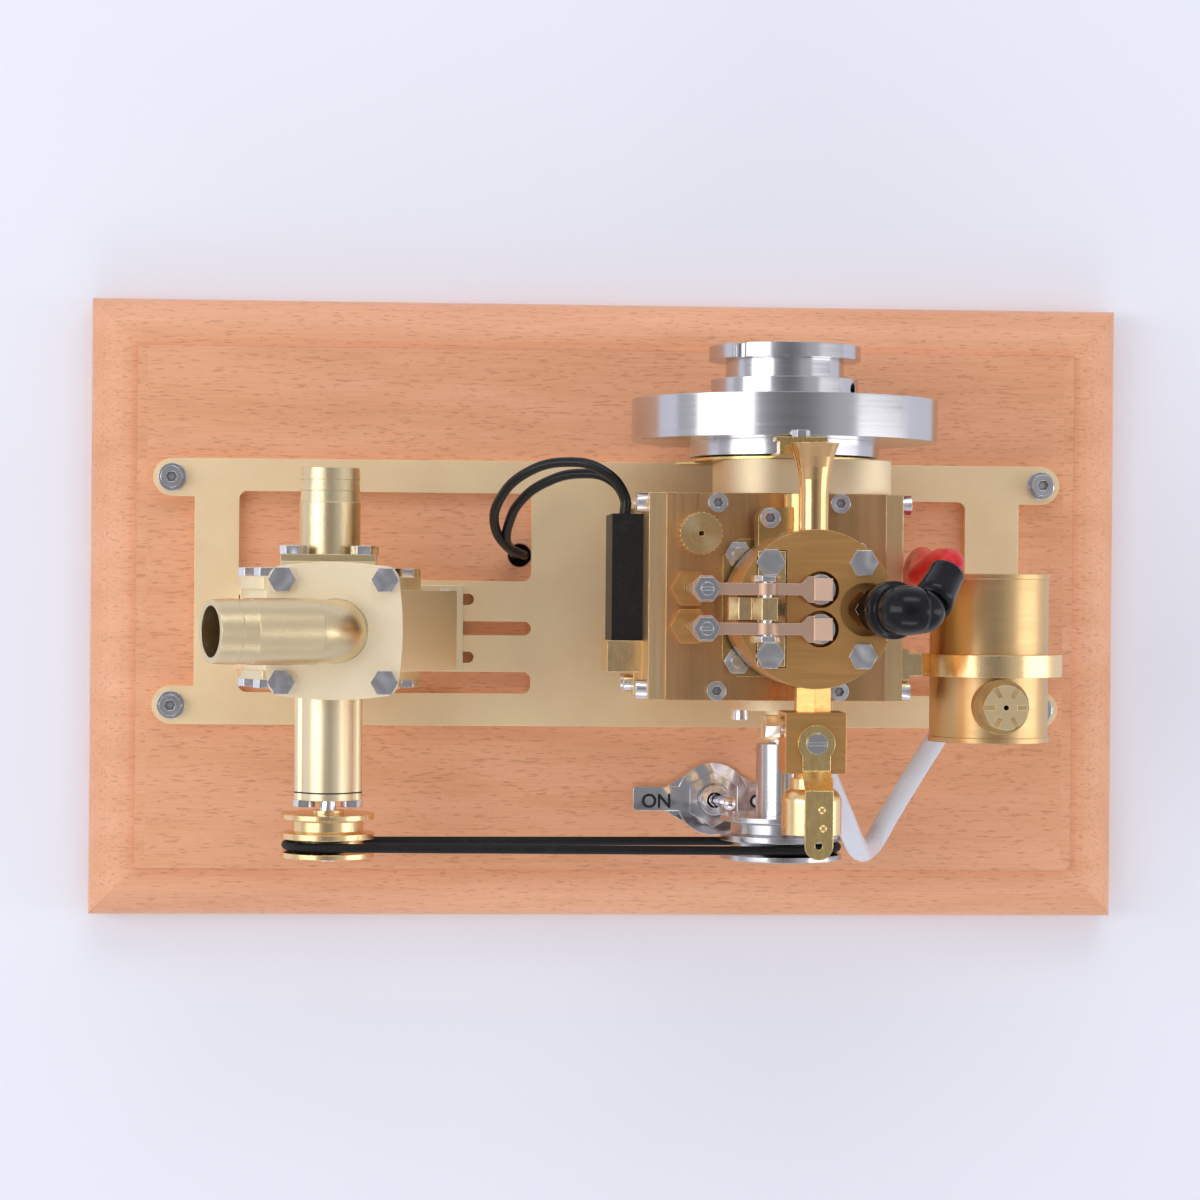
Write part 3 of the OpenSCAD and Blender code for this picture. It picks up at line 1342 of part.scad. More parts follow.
module inlet_pipe() color(cream) translate([-pump_x, inlet_y, pump_z]) difference() {
  union() {
    to_rear() barbed(inlet_l, pipe_d / 2, barb_in);
    block([-rear_boss_s / 2, 0, -rear_boss_s / 2], [rear_boss_s / 2, inlet_flange_t, rear_boss_s / 2]);
  }
  translate([0, -cut, 0]) to_rear() rod(inlet_l + 2 * cut, pipe_d / 2 - pipe_wall);
  translate([0, inlet_flange_t, 0]) to_rear() corners(inlet_bolt_dx, inlet_bolt_dx)
    hole(m3, inlet_flange_t + cut);
}

// Outlet elbow: flange, riser, bend, and a sloping pipe with ring marks
bend_r = 9;
riser_h = 1.6;
outlet_l2 = 24;
elbow_marks = [0, 5.3, 9];
turn = 90 - outlet_slope;
elbow_wall = 1.7;
elbow_bore_r = elbow_d / 2 - elbow_wall;

module bend_place() translate([neck_x + elbow_dx, pump_y, top_z + riser_h]) children();
module elbow_solid(r) {
  up(-riser_h) rod(riser_h + bend_lap, r);
  translate([-bend_r, 0, 0]) rotate([90, 0, 0]) rotate_extrude(angle = turn) translate([bend_r, 0])
    circle(r - bend_step);
  outlet_place() up(-bend_lap) barbed(outlet_l2 + bend_lap, r, elbow_marks);
}
bend_lap = 0.5;
bend_step = 0.3;
module outlet_place() translate([-bend_r, 0, 0]) rotate([0, -turn, 0]) translate([bend_r, 0, 0]) children();
elbow_dx = 0.5;

module outlet_elbow() color(cream) difference() {
  union() {
    translate([neck_x, pump_y, top_z - elbow_flange_t]) linear_extrude(elbow_flange_t)
      flange_outline();
    bend_place() elbow_solid(elbow_d / 2);
  }
  bend_place() elbow_solid(elbow_bore_r);
  bend_place() outlet_place() rod(outlet_l2 + cut, elbow_bore_r);
  zbar(neck_x + elbow_dx, pump_y, top_z - elbow_flange_t - cut, top_z + riser_h, elbow_bore_r);
  flange_bolt_places() hole(m3, elbow_flange_t + cut);
}

// Pump bearing housing: front flange, barrel with two screw ribs, seal and end cap
rib_r = 2.4;
seal_t = 0.4;
end_cap_t = 1.6;
front_flange_d = 43;

module housing_bar(y0, y1) {
  pump_bar(y0, y1, housing_d / 2);
  for (x = [-cap_bolt_dx, cap_bolt_dx]) ybar(x - pump_x, pump_z, y0, y1, rib_r);
}

module pump_bearing_housing() {
  end = housing_end;
  color(cream) difference() {
    union() {
      pump_bar(front_y, casing_y0, front_flange_d / 2);
      housing_bar(end, front_y);
    }
    above_neck(top_z - elbow_flange_t - top_flange_t - air);
    pump_bar(end - cut, casing_y0 + cut, rotor_d / 2 + run_fit);
    cover_bolt_places(front_y, false) hole(m3, front_flange_t + cut);
    cap_bolt_holes();
  }
  color(rubber) housing_ring(end - seal_t, end);
  color(gold) housing_ring(end - seal_t - end_cap_t, end - seal_t);
}
module housing_ring(y0, y1) difference() {
  housing_bar(y0, y1);
  pump_bar(y0 - cut, y1 + cut, rotor_d / 2 + air);
  cap_bolt_holes();
}
module cap_bolt_holes() for (x = [-cap_bolt_dx, cap_bolt_dx]) ybar(x - pump_x, pump_z,
  housing_end - seal_t - end_cap_t - cut, housing_end + cap_grip + air, m25 / 2 + snug);

// Pulleys: two grooves each; the belt runs in the front one
belt_y = -55.4;
groove_pitch = 4.6;
pulley_rim_t = 1;
pulley_w = 2 * groove_pitch + pulley_rim_t;
pulley_front = belt_y - (groove_pitch + pulley_rim_t) / 2;
pulley_back = pulley_front + pulley_w;

module grooved(x, d, hub_r) translate([x, pulley_front, pump_z]) to_rear() rotate_extrude() difference() {
  floor_r = d / 2 - belt_sink - belt_d / 2 - air;
  groove_w = groove_pitch - pulley_rim_t;
  square([d / 2, pulley_w]);
  for (i = [0, 1]) translate([0, pulley_rim_t + i * groove_pitch])
    polygon([[d / 2 + cut, 0], [floor_r, groove_w / 2 - groove_half], [floor_r, groove_w / 2 + groove_half],
      [d / 2 + cut, groove_w]]);
  translate([0, -cut]) square([hub_r, pulley_w + 2 * cut]);
}
belt_sink = 1.2;
groove_half = 1.15;

drive_pitch_r = drive_d / 2 - belt_sink;
driven_pitch_r = driven_d / 2 - belt_sink;
belt_span = crank_x + pump_x;
belt_tilt = asin((drive_pitch_r - driven_pitch_r) / belt_span);
echo(pump_turns_per_crank_turn = drive_pitch_r / driven_pitch_r);

// Belt: one endless round cord, an arc on each pulley and two straight runs between them
belt_steps = 12;
function belt_arc(x, r, from, to) = [for (i = [0:belt_steps]) let (a = from + (to - from) * i / belt_steps)
  [x + r * cos(a), belt_y, crank_z + r * sin(a)]];
belt_path = concat(belt_arc(crank_x, drive_pitch_r, -90 - belt_tilt, 90 + belt_tilt),
  belt_arc(-pump_x, driven_pitch_r, 90 + belt_tilt, 270 - belt_tilt));
module drive_belt() color(rubber) swept_tube(belt_path, belt_d / 2, 8, [0, 1, 0], true);
echo(belt_length = route_length(concat(belt_path, [belt_path[0]])));

module drive_pulley() color(steel) difference() {
  union() {
    grooved(crank_x, drive_d, stub_shaft_d / 2 + snug);
    crank_bar(pulley_back, tube_end, tube_d / 2);
  }
  crank_bar(pulley_front - cut, tube_end + cut, stub_shaft_d / 2 + snug);
}
stub_shaft_d = 4;
tube_d = 12;
tube_gap = 1;
tube_end = case_y0 - cap_t - cap_neck_l - tube_gap;

module pump_pulley() color(gold) difference() {
  union() {
    grooved(-pump_x, driven_d, rotor_d / 2 + snug);
    pump_bar(pulley_front, pulley_back + hub_l, hub_d / 2);
  }
  pump_bar(pulley_front - cut, pulley_front + 3 * groove_pitch, rotor_d / 2 + snug);
}
hub_l = 0.8;
hub_d = 7.6;

// Pump rotor: shaft with a vaned impeller
vanes = 6;
vane_t = 1.2;
vane_w = 8;
vane_sweep = 50;
backplate_t = 2;
hub_r = 4;
function vane_points(side) = [for (t = [0:0.2:1])
  let (r = (hub_r - vane_t) * (1 - t) + (impeller_d - vane_t) / 2 * t,
    a = vane_sweep * t + side * vane_t / r * 90 / PI) r * [cos(a), sin(a)]];
module pump_rotor() {
  color(steel) pump_bar(pulley_front - cut, casing_y0 + chamber_front + air + backplate_t,
    rotor_d / 2);
  color(gold) translate([-pump_x, casing_y0 + chamber_front + air, pump_z]) to_rear() {
    rod(backplate_t, impeller_d / 2);
    rod(backplate_t + vane_w, hub_r);
    up(backplate_t / 2) linear_extrude(vane_w) for (i = [0:vanes - 1]) rotate(360 * i / vanes)
      polygon(concat(vane_points(-1), [for (i = [5:-1:0]) vane_points(1)[i]]));
  }
}

// Gear teeth: involute flanks, thinned by a small backlash
pressure = 20;
backlash = 0.12;
gear_module = 2 * cam_dist / (3 * pinion_teeth);
gear_t = 4;
addendum_share = 0.8;
dedendum_share = 1.1;
flank_share = [0.15, 0.55];
function inv(a) = tan(a) * 180 / PI - a;
function flank_angle(r, rb) = r > rb ? inv(acos(rb / r)) : 0;
function tooth_half(r, teeth) = let (rp = gear_module * teeth / 2, rb = rp * cos(pressure))
  90 / teeth - backlash / rp * 90 / PI + inv(pressure) - flank_angle(r, rb);
function tooth_points(teeth, a) = let (rp = gear_module * teeth / 2, ra = rp + addendum_share * gear_module,
  rd = rp - dedendum_share * gear_module, rb = rp * cos(pressure),
  radii = [rd, max(rb, rd) + (ra - max(rb, rd)) * flank_share.x, rp, rp + (ra - rp) * flank_share.y, ra])
  concat([for (r = radii) polar(r, a - tooth_half(r, teeth))],
    [for (i = [4:-1:0]) polar(radii[i], a + tooth_half(radii[i], teeth))]);
function polar(r, a) = r * [cos(a), sin(a)];
module gear(teeth, turn_by) linear_extrude(gear_t) polygon([for (i = [0:teeth - 1])
  each tooth_points(teeth, turn_by + 360 * i / teeth)]);

// Crankshaft: two webbed halves with pin stubs, between which the rod's big end works
rod_t = 4;
web_t = 4;
web_land = 0.4;
web_r = throw_r + pin_d / 2 + web_land;
pin_gap = 1.8;
gear_gap = 1.2;
rod_side = rod_t / 2 + air + pin_gap;
gear_y = case_y1 - wall_t - gear_gap - gear_t;
crank_end = 61.6;

module crankshaft() color(steel) {
  for (side = [-1, 1]) {
    web_in = cyl_y + side * rod_side;
    web_out = web_in + side * web_t;
    pin_end = web_in - side * pin_gap;
    crank_bar(min(web_in, web_out), max(web_in, web_out), web_r);
    ybar(crank_x, crank_z + throw_r, min(web_in, pin_end), max(web_in, pin_end), pin_d / 2);
  }
  crank_bar(cyl_y + rod_side, crank_end, journal_d / 2);
  crank_bar(tube_end + air, cyl_y - rod_side, journal_d / 2);
  crank_bar(pulley_front, tube_end + air, stub_shaft_d / 2);
  translate([crank_x, gear_y, crank_z]) to_rear() gear(pinion_teeth, 180);
}

// Camshaft: two lobes, journals and the half-speed gear
cam_phase = 115;
lobe_nose_r = 1.6;
module lobe(a) rotate(a) {
  circle(base_circle_r);
  polygon([for (p = [[0, base_circle_r, -1], [lobe_tip_r - lobe_nose_r, lobe_nose_r, -1],
    [lobe_tip_r - lobe_nose_r, lobe_nose_r, 1], [0, base_circle_r, 1]])
    [p[0] + p[1] * cos(lobe_tangent), p[2] * p[1] * sin(lobe_tangent)]]);
  translate([lobe_tip_r - lobe_nose_r, 0]) circle(lobe_nose_r);
}
lobe_tangent = acos((base_circle_r - lobe_nose_r) / (lobe_tip_r - lobe_nose_r));

module camshaft() color(steel) {
  ybar(cam_x, crank_z, case_y0 + wall_t - cam_pocket + air, case_y1 - wall_t + cam_pocket - air,
    cam_journal_d / 2);
  for (side = [1, -1]) translate([cam_x, cyl_y + side * rocker_pitch / 2 - lobe_w / 2, crank_z])
    to_rear() linear_extrude(lobe_w) lobe(90 + side * cam_phase);
  translate([cam_x, gear_y, crank_z]) to_rear() gear(2 * pinion_teeth, 180 / (2 * pinion_teeth));
}

// Flywheel, its boss, and the starter pulley behind it
boss_d = 45;
boss_t = 4;
flywheel_y = 40.5;
lightening_d = 56;
lightening_in_d = 38;
lightening_h = 1.6;
starter_hub_d = 35;
starter_hub_t = 4.9;
starter_groove_w = 4.6;
starter_flange_t = 3.3;
rope_notch_d = 3.4;
notch_angle = 48;
set_screw_angle = 60;
starter_y = flywheel_y + flywheel_t;
rope_y = starter_y + starter_hub_t;
rim_y = rope_y + starter_groove_w;

module flywheel() color(steel) difference() {
  union() {
    crank_bar(flywheel_y, flywheel_y + flywheel_t, flywheel_d / 2);
    crank_bar(flywheel_y - boss_t + air, flywheel_y, boss_d / 2);
  }
  crank_bar(flywheel_y - boss_t - cut, starter_y + cut, journal_d / 2 + snug);
  difference() {
    crank_bar(starter_y - lightening_h, starter_y + cut, lightening_d / 2);
    crank_bar(starter_y - 2 * lightening_h, starter_y + 2 * cut, lightening_in_d / 2);
  }
}

module starter_pulley() color(steel) difference() {
  union() {
    crank_bar(starter_y, rope_y, starter_hub_d / 2);
    crank_bar(starter_y, rim_y, starter_groove_d / 2);
    crank_bar(rim_y, rim_y + starter_flange_t, starter_d / 2);
  }
  crank_bar(starter_y - cut, crank_end + cut, journal_d / 2 + snug);
  translate([crank_x, starter_y + starter_hub_t / 2, crank_z]) rotate([0, set_screw_angle, 0])
    up(journal_d) rod(starter_hub_d, m3 / 2);
  ybar(crank_x - starter_d / 2 * cos(notch_angle), crank_z + starter_d / 2 * sin(notch_angle),
    rim_y, starter_y + starter_hub_d, rope_notch_d / 2);
}

// Piston with its rings and wrist pin, and the rod that hangs from it
pin_z = crank_z + throw_r + rod_l;
crown_h = 6.2;
skirt_h = 5.8;
wrist_d = 4;
ring_groove = 0.5;
ring_z = [1.4, 3];
piston_gap = 0.04;
small_end_r = 3.6;
big_end_r = 4.9;
shank_w = 4.4;

module piston() color(steel) {
  difference() {
    bore_bar(pin_z - skirt_h, pin_z + crown_h, bore_d / 2 - piston_gap);
    bore_bar(pin_z - skirt_h - cut, pin_z + small_end_r + air, bore_d / 2 - liner_t);
    for (s = ring_z) difference() {
      bore_bar(pin_z + crown_h - s - ring_groove, pin_z + crown_h - s, bore_d / 2 + cut);
      bore_bar(pin_z + crown_h - s - 2 * ring_groove, pin_z + crown_h - s + ring_groove,
        bore_d / 2 - liner_t / 2);
    }
  }
  ybar(crank_x, pin_z, cyl_y - bore_d / 2 + liner_t / 2, cyl_y + bore_d / 2 - liner_t / 2, wrist_d / 2);
}

module con_rod() color(gold) difference() {
  union() {
    ybar(crank_x, pin_z, cyl_y - rod_t / 2, cyl_y + rod_t / 2, small_end_r);
    ybar(crank_x, pin_z - rod_l, cyl_y - rod_t / 2, cyl_y + rod_t / 2, big_end_r);
    block([crank_x - shank_w / 2, cyl_y - rod_t / 2, pin_z - rod_l],
      [crank_x + shank_w / 2, cyl_y + rod_t / 2, pin_z]);
  }
  ybar(crank_x, pin_z, cyl_y - rod_t, cyl_y + rod_t, wrist_d / 2 + run_fit);
  ybar(crank_x, pin_z - rod_l, cyl_y - rod_t, cyl_y + rod_t, pin_d / 2 + run_fit);
}

wood_base();
base_plate();
base_screws();
crankcase();
side_covers();
top_cover();
case_screws();
bearing_cap();
main_bearings();
rear_housing();
cylinder_barrel();
cylinder_head();
cylinder_fasteners();
spark_plug();
exhaust_pipe();
rocker_stand();
rocker_shaft();
pushrod_guides();
carburettor();
air_horn();
fuel_tank();
tank_clamp();
fuel_line();
ignition_module();
module_clamp();
signal_wires();
plug_boot();
ht_lead();
switch_plate();
toggle_switch();
pump_casing();
pump_cover();
pump_bolts();
outlet_elbow();
inlet_pipe();
pump_bearing_housing();
drive_belt();
spring_exhaust();
spring_intake();
crankshaft();
flywheel();
starter_pulley();
drive_pulley();
camshaft();
piston();
con_rod();
rocker_exhaust();
rocker_intake();
pushrod_exhaust();
pushrod_intake();
valve_exhaust();
valve_intake();
throttle_lever();
needle_valve();
toggle_lever();
tank_cap();
oil_cap();
timing_plate();
pump_rotor();
pump_pulley();
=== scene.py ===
# %% [markdown]
# # Miniature gasoline engine with a water pump
# The engine, its pump and the moulded wooden base come from the CAD model, in metres, with the
# base's underside on the floor and +Z up. This lesson loads those solids, gives each one the finish
# of the real piece, and adds the small things that a solid modeller has no use for.

# %% Load the frame
import math

import bmesh
import bpy
from mathutils import Euler, Matrix, Vector


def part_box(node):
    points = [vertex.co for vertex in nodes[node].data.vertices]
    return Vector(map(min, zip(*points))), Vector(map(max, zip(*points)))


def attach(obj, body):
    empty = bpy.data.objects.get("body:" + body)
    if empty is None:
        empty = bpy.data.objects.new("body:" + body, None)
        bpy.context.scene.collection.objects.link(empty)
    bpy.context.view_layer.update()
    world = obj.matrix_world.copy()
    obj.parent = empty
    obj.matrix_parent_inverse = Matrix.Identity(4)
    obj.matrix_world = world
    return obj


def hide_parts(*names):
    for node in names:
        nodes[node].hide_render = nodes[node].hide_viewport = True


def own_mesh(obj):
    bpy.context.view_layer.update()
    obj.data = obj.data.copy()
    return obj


MM = 0.001
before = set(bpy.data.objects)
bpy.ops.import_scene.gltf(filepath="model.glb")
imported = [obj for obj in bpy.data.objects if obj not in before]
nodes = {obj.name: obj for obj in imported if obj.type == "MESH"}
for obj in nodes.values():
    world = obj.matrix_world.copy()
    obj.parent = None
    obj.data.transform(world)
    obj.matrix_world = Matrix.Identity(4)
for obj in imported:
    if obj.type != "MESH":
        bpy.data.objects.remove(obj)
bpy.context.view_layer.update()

# %% [markdown]
# ## The camera
# The photograph was taken from above, a little to the left of the base's middle. A pinhole camera
# was fitted to the screws and to the corners of the base, so its place, its turn and its focal
# length are known numbers, and nothing is judged by eye. The picture is square, so a 36 mm sensor
# is enough to turn the focal length in pixels into millimetres.

# %% Camera
PICTURE_PIXELS = 1200
FOCAL_PIXELS = 2928.2
SENSOR_MM = 36.0
CAMERA_PLACE = (-45.7, 5.965, 750.62)
CAMERA_TURN = (-0.005116, -0.059338, 0.008335)
camera_data = bpy.data.cameras.new("camera")
camera_data.sensor_fit = "HORIZONTAL"
camera_data.sensor_width = SENSOR_MM
camera_data.lens = FOCAL_PIXELS * SENSOR_MM / PICTURE_PIXELS
camera = bpy.data.objects.new("camera", camera_data)
camera.location = Vector(CAMERA_PLACE) * MM
camera.rotation_euler = Euler(CAMERA_TURN, "XYZ")
bpy.context.scene.collection.objects.link(camera)
bpy.context.scene.camera = camera
bpy.context.scene.view_settings.view_transform = "Standard"
print("lens", round(camera_data.lens, 2), "mm")

# %% [markdown]
# ## Hose, lead and wires
# Four flexible pieces run from one part of the machine to another: the milky fuel hose, the red
# ignition lead and the two thin wires of the sensor. Each could be a swept mesh, but a curve is the
# easiest to bend: its own line is the middle of the hose, and automatic handles keep the bends
# smooth. The bevel depth is 1, so each point's radius is the hose's real radius, and the box of
# the curve stays as small as the hose. The points are those of the CAD route, in millimetres.


# %% Flexible lines
ROUND_STEPS, BEND_STEPS = 5, 10


def flexible(name, points, thickness, closed=False):
    """A round line through the points, as a curve with one spline."""
    line = bpy.data.curves.new(name, "CURVE")
    line.dimensions = "3D"
    line.bevel_depth = 1.0
    line.bevel_resolution = ROUND_STEPS
    line.resolution_u = BEND_STEPS
    line.use_fill_caps = not closed
    spline = line.splines.new("BEZIER")
    spline.bezier_points.add(len(points) - 1)
    spline.use_cyclic_u = closed
    for knot, point in zip(spline.bezier_points, points):
        knot.co = Vector(point) * MM
        knot.radius = thickness / 2 * MM
        knot.handle_left_type = knot.handle_right_type = "AUTO"
    made = bpy.data.objects.new(name, line)
    bpy.context.scene.collection.objects.link(made)
    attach(made, "frame")
    return made


def cord(name, node, points, thickness):
    """A flexible line that leaves one part of the machine and goes into another."""
    made = flexible(name, points, thickness)
    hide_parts(node)
    measured = made.data.splines[0].calc_length() / MM
    print(name, "length", round(measured, 1), "mm")
    return made


HOSE_ROUTE = [
    (79.9, -24.7, 56.3), (79.9, -24.7, 54.6), (77.4, -30, 51), (72, -39, 50), (66, -49, 50),
    (62.5, -54.5, 52), (60, -56, 57), (57.5, -56, 65), (54.5, -53.5, 74), (50, -46, 85),
    (45.6, -37, 90.4), (43.6, -31.4, 91.9), (43.6, -31.4, 92.9),
]
LEAD_ROUTE = [
    (66.823, 9.735, 123.172), (68.036, 11.569, 121.694), (67.5, 12.2, 117), (66.9, 12.1, 111),
    (65.8, 10.4, 104), (65.2, 9.2, 98), (66.2, 9.8, 91), (68.6, 12, 82), (70.2, 13.2, 70),
    (71.2, 11.8, 56), (72.4, 9.6, 44), (73, 8.4, 32), (73, 8, 22), (73, 8, 10), (73, 8, 6),
]
LOW_WIRE_ROUTE = [
    (1.4, 23.2, 53), (1.4, 27, 53), (-2, 31.5, 52), (-9, 33, 49), (-17, 31, 45),
    (-23, 26.5, 40), (-25.5, 21.5, 34), (-26, 17, 28), (-24.3, 14.6, 22), (-23.7, 13.6, 16),
    (-23.7, 13.6, 6),
]
HIGH_WIRE_ROUTE = [
    (1.4, 23.2, 57), (1.4, 27, 57), (-4, 33.5, 57), (-13, 35.5, 54), (-22, 33, 49),
    (-28, 27, 42), (-29, 20.5, 34), (-25.5, 15.4, 27), (-22, 13.8, 22), (-21.1, 13.6, 16),
    (-21.1, 13.6, 6),
]
hose = cord("fuel_hose", "fuel_line", HOSE_ROUTE, 5.0)
lead = cord("ignition_lead", "ht_lead", LEAD_ROUTE, 5.4)
low_wire = cord("sensor_wire_low", "signal_wires", LOW_WIRE_ROUTE, 2.4)
high_wire = cord("sensor_wire_high", "signal_wires", HIGH_WIRE_ROUTE, 2.4)

# %% [markdown]
# ## The round belt
# A rubber cord runs round both pulleys. It is two arcs joined by straight lines, so the points of
# the arcs are enough, and the curve is closed. The pulleys differ in size, which tilts the runs by
# the angle whose sine is the difference of the radii over the distance.

# %% Belt
BELT_Y, SHAFT_Z = -55.4, 58.0
BELT_THICKNESS = 2.1
WHEELS = ((39.0, 13.3), (-68.4, 9.8))
ARC_STEPS = 16
tilt = math.asin((WHEELS[0][1] - WHEELS[1][1]) / (WHEELS[0][0] - WHEELS[1][0]))
belt_points = []
for side, (wheel_x, radius) in enumerate(WHEELS):
    first = -math.pi / 2 - tilt if side == 0 else math.pi / 2 + tilt
    sweep = math.pi + 2 * tilt if side == 0 else math.pi - 2 * tilt
    for step in range(ARC_STEPS + 1):
        angle = first + sweep * step / ARC_STEPS
        belt_points.append(
            (wheel_x + radius * math.cos(angle), BELT_Y, SHAFT_Z + radius * math.sin(angle))
        )
belt = flexible("round_belt", belt_points, BELT_THICKNESS, closed=True)
run_ends = (0, ARC_STEPS, ARC_STEPS + 1, 2 * ARC_STEPS + 1)
for i in run_ends:
    knot = belt.data.splines[0].bezier_points[i]
    knot.handle_left_type = knot.handle_right_type = "VECTOR"
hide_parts("drive_belt")
print("belt length", round(belt.data.splines[0].calc_length() / MM, 1), "mm")

# %% [markdown]
# ## The plug's rubber boot
# The boot is a fat rubber elbow: it sits straight on the plug, carries a thick ring, swells at the
# knee, and tapers over the lead. A loft makes it: one circle for each station along its middle
# line, and a bridge between each two, so the ring keeps its crisp shoulders. The body ends in a
# round dome, and the sleeve that grips the lead leaves the side of that dome.


# %% Boot
def lofted(name, stations, sides=40):
    """A round body along a line: each station is a point and the radius there."""
    shape = bmesh.new()
    centres = [Vector(point) * MM for point, _ in stations]
    loops = []
    side_way = Vector((0.0, 1.0, 0.0))
    for i, (_, radius) in enumerate(stations):
        ahead = centres[min(i + 1, len(centres) - 1)] - centres[max(i - 1, 0)]
        ahead.normalize()
        side_way = (side_way - ahead * side_way.dot(ahead)).normalized()
        turn = Matrix((side_way, ahead.cross(side_way), ahead)).transposed().to_4x4()
        place = Matrix.Translation(centres[i]) @ turn
        ring = bmesh.ops.create_circle(shape, segments=sides, radius=radius * MM, matrix=place)
        edges = {edge for vert in ring["verts"] for edge in vert.link_edges}
        if loops:
            bmesh.ops.bridge_loops(shape, edges=list(loops[-1] | edges))
        loops.append(edges)
    bmesh.ops.holes_fill(shape, edges=list(loops[0] | loops[-1]))
    bmesh.ops.recalc_face_normals(shape, faces=shape.faces)
    for face in shape.faces:
        face.smooth = len(face.verts) == 4
    return finished(name, shape, "frame")


def finished(name, shape, body):
    """Turns a bmesh into an object that rides on a body."""
    mesh = bpy.data.meshes.new(name)
    shape.to_mesh(mesh)
    shape.free()
    made = bpy.data.objects.new(name, mesh)
    bpy.context.scene.collection.objects.link(made)
    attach(made, body)
    return made


PLUG_FOOT, PLUG_LEAN = Vector((51.85, 1.4, 118.0)), math.radians(18)
DOME, BOOT_TIP = Vector((61.313, 1.4, 129.888)), Vector((66.8, 9.7, 123.2))


def on_plug(height):
    """A point on the plug's own axis, a height above its foot."""
    return PLUG_FOOT + Vector((math.sin(PLUG_LEAN), 0, math.cos(PLUG_LEAN))) * height


stem = [(1.2, 4.5), (1.5, 4.9), (6.6, 4.9), (6.85, 5.3), (6.95, 6.1), (7.25, 6.3), (9.55, 6.3),
        (9.85, 6.1), (9.95, 5.4), (10.4, 5.1)]
body_line = [(on_plug(height), radius) for height, radius in stem]
KNEE_STEPS, CAP_STEPS = 14, 9
BODY_RADIUS, DOME_RADIUS = 5.1, 4.9
KNEE_SWELL, DOME_TIP = 0.35, 0.25
knee_in, knee_top, knee_out = on_plug(10.8), on_plug(14.4), DOME - Vector((1.0, 0.0, 0.0))
for step in range(KNEE_STEPS + 1):
    t = step / KNEE_STEPS
    point = knee_in * (1 - t) ** 2 + knee_top * 2 * t * (1 - t) + knee_out * t**2
    swell = KNEE_SWELL * math.sin(math.pi * t)
    body_line.append((point, BODY_RADIUS + (DOME_RADIUS - BODY_RADIUS) * t + swell))
for step in range(1, CAP_STEPS + 1):
    angle = math.pi / 2 * step / CAP_STEPS
    ahead = Vector((DOME_RADIUS * math.sin(angle), 0.0, 0.0))
    body_line.append((knee_out + ahead, max(DOME_TIP, DOME_RADIUS * math.cos(angle))))
boot = lofted("rubber_boot", body_line)
sleeve_way = (BOOT_TIP - DOME).normalized()
sleeve = [(2.0, 4.5), (5.0, 4.35), (8.0, 4.1), (10.6, 3.9), (11.2, 3.95), (11.7, 3.9), (11.95, 3.6)]
boot_sleeve = lofted("boot_sleeve", [(DOME + sleeve_way * far, radius) for far, radius in sleeve])
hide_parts("plug_boot")
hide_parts("plug_boot")
print("boot stations", len(body_line))

# %% [markdown]
# ## The valve springs
# A spring is a small circle spun round an upright axis while it climbs. The spin operator does both
# at once, because it takes a step upwards as well as a turn.

# %% Springs
SPRING_FOOT, SPRING_TOP = 110.6, 115.8
SPRING_RADIUS, SPRING_WIRE = 2.5, 0.6
SPRING_CURLS, SPRING_STEPS = 3, 28
SPRING_X, SPRING_SEAT = 40.0, 110.3
EXHAUST_Y, INTAKE_Y = 5.7, -2.9
WIRE_SIDES, WELD = 10, 0.002


def coil_spring(name, node, y):
    """A coil of round wire that stands on the head."""
    shape = bmesh.new()
    upright = Matrix.Rotation(math.pi / 2, 4, "X")
    foot = Matrix.Translation(Vector((SPRING_RADIUS, 0, 0)) * MM) @ upright
    bmesh.ops.create_circle(
        shape, segments=WIRE_SIDES, radius=SPRING_WIRE / 2 * MM, matrix=foot, cap_ends=True
    )
    steps = SPRING_CURLS * SPRING_STEPS
    bmesh.ops.spin(
        shape,
        geom=list(shape.verts) + list(shape.edges) + list(shape.faces),
        cent=(0, 0, 0),
        axis=(0, 0, 1),
        dvec=(0, 0, (SPRING_TOP - SPRING_FOOT) / steps * MM),
        angle=math.tau * SPRING_CURLS,
        steps=steps,
        use_merge=False,
        use_duplicate=False,
    )
    bmesh.ops.remove_doubles(shape, verts=shape.verts, dist=WELD * MM)
    bmesh.ops.translate(shape, verts=shape.verts, vec=Vector((SPRING_X, y, SPRING_FOOT)) * MM)
    bmesh.ops.recalc_face_normals(shape, faces=shape.faces)
    for face in shape.faces:
        face.smooth = True
    made = finished(name, shape, "frame")
    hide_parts(node)
    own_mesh(made)
    return made


springs = [
    coil_spring("exhaust_coil", "spring_exhaust", EXHAUST_Y),
    coil_spring("intake_coil", "spring_intake", INTAKE_Y),
]
print("spring faces", [len(spring.data.polygons) for spring in springs])

# %% [markdown]
# ## The words on the switch
# The two tabs of the switch plate are stamped ON and OFF in black. Words are easiest as text, which
# is made a mesh, scaled to the height of the stamp and laid on the plate.

# %% Words
TAB_TOP = 18.8
WORD_LOW, WORD_HIGH = -49.45, -45.87
SWITCH_X = 26.6
ON_LEFT, ON_RIGHT = 8.73, 15.92
OFF_LEFT, OFF_RIGHT = 2 * SWITCH_X - 17.3, 2 * SWITCH_X - 8.6
STROKE_EXTRA, STAMP_THICKNESS = 0.02, 0.06


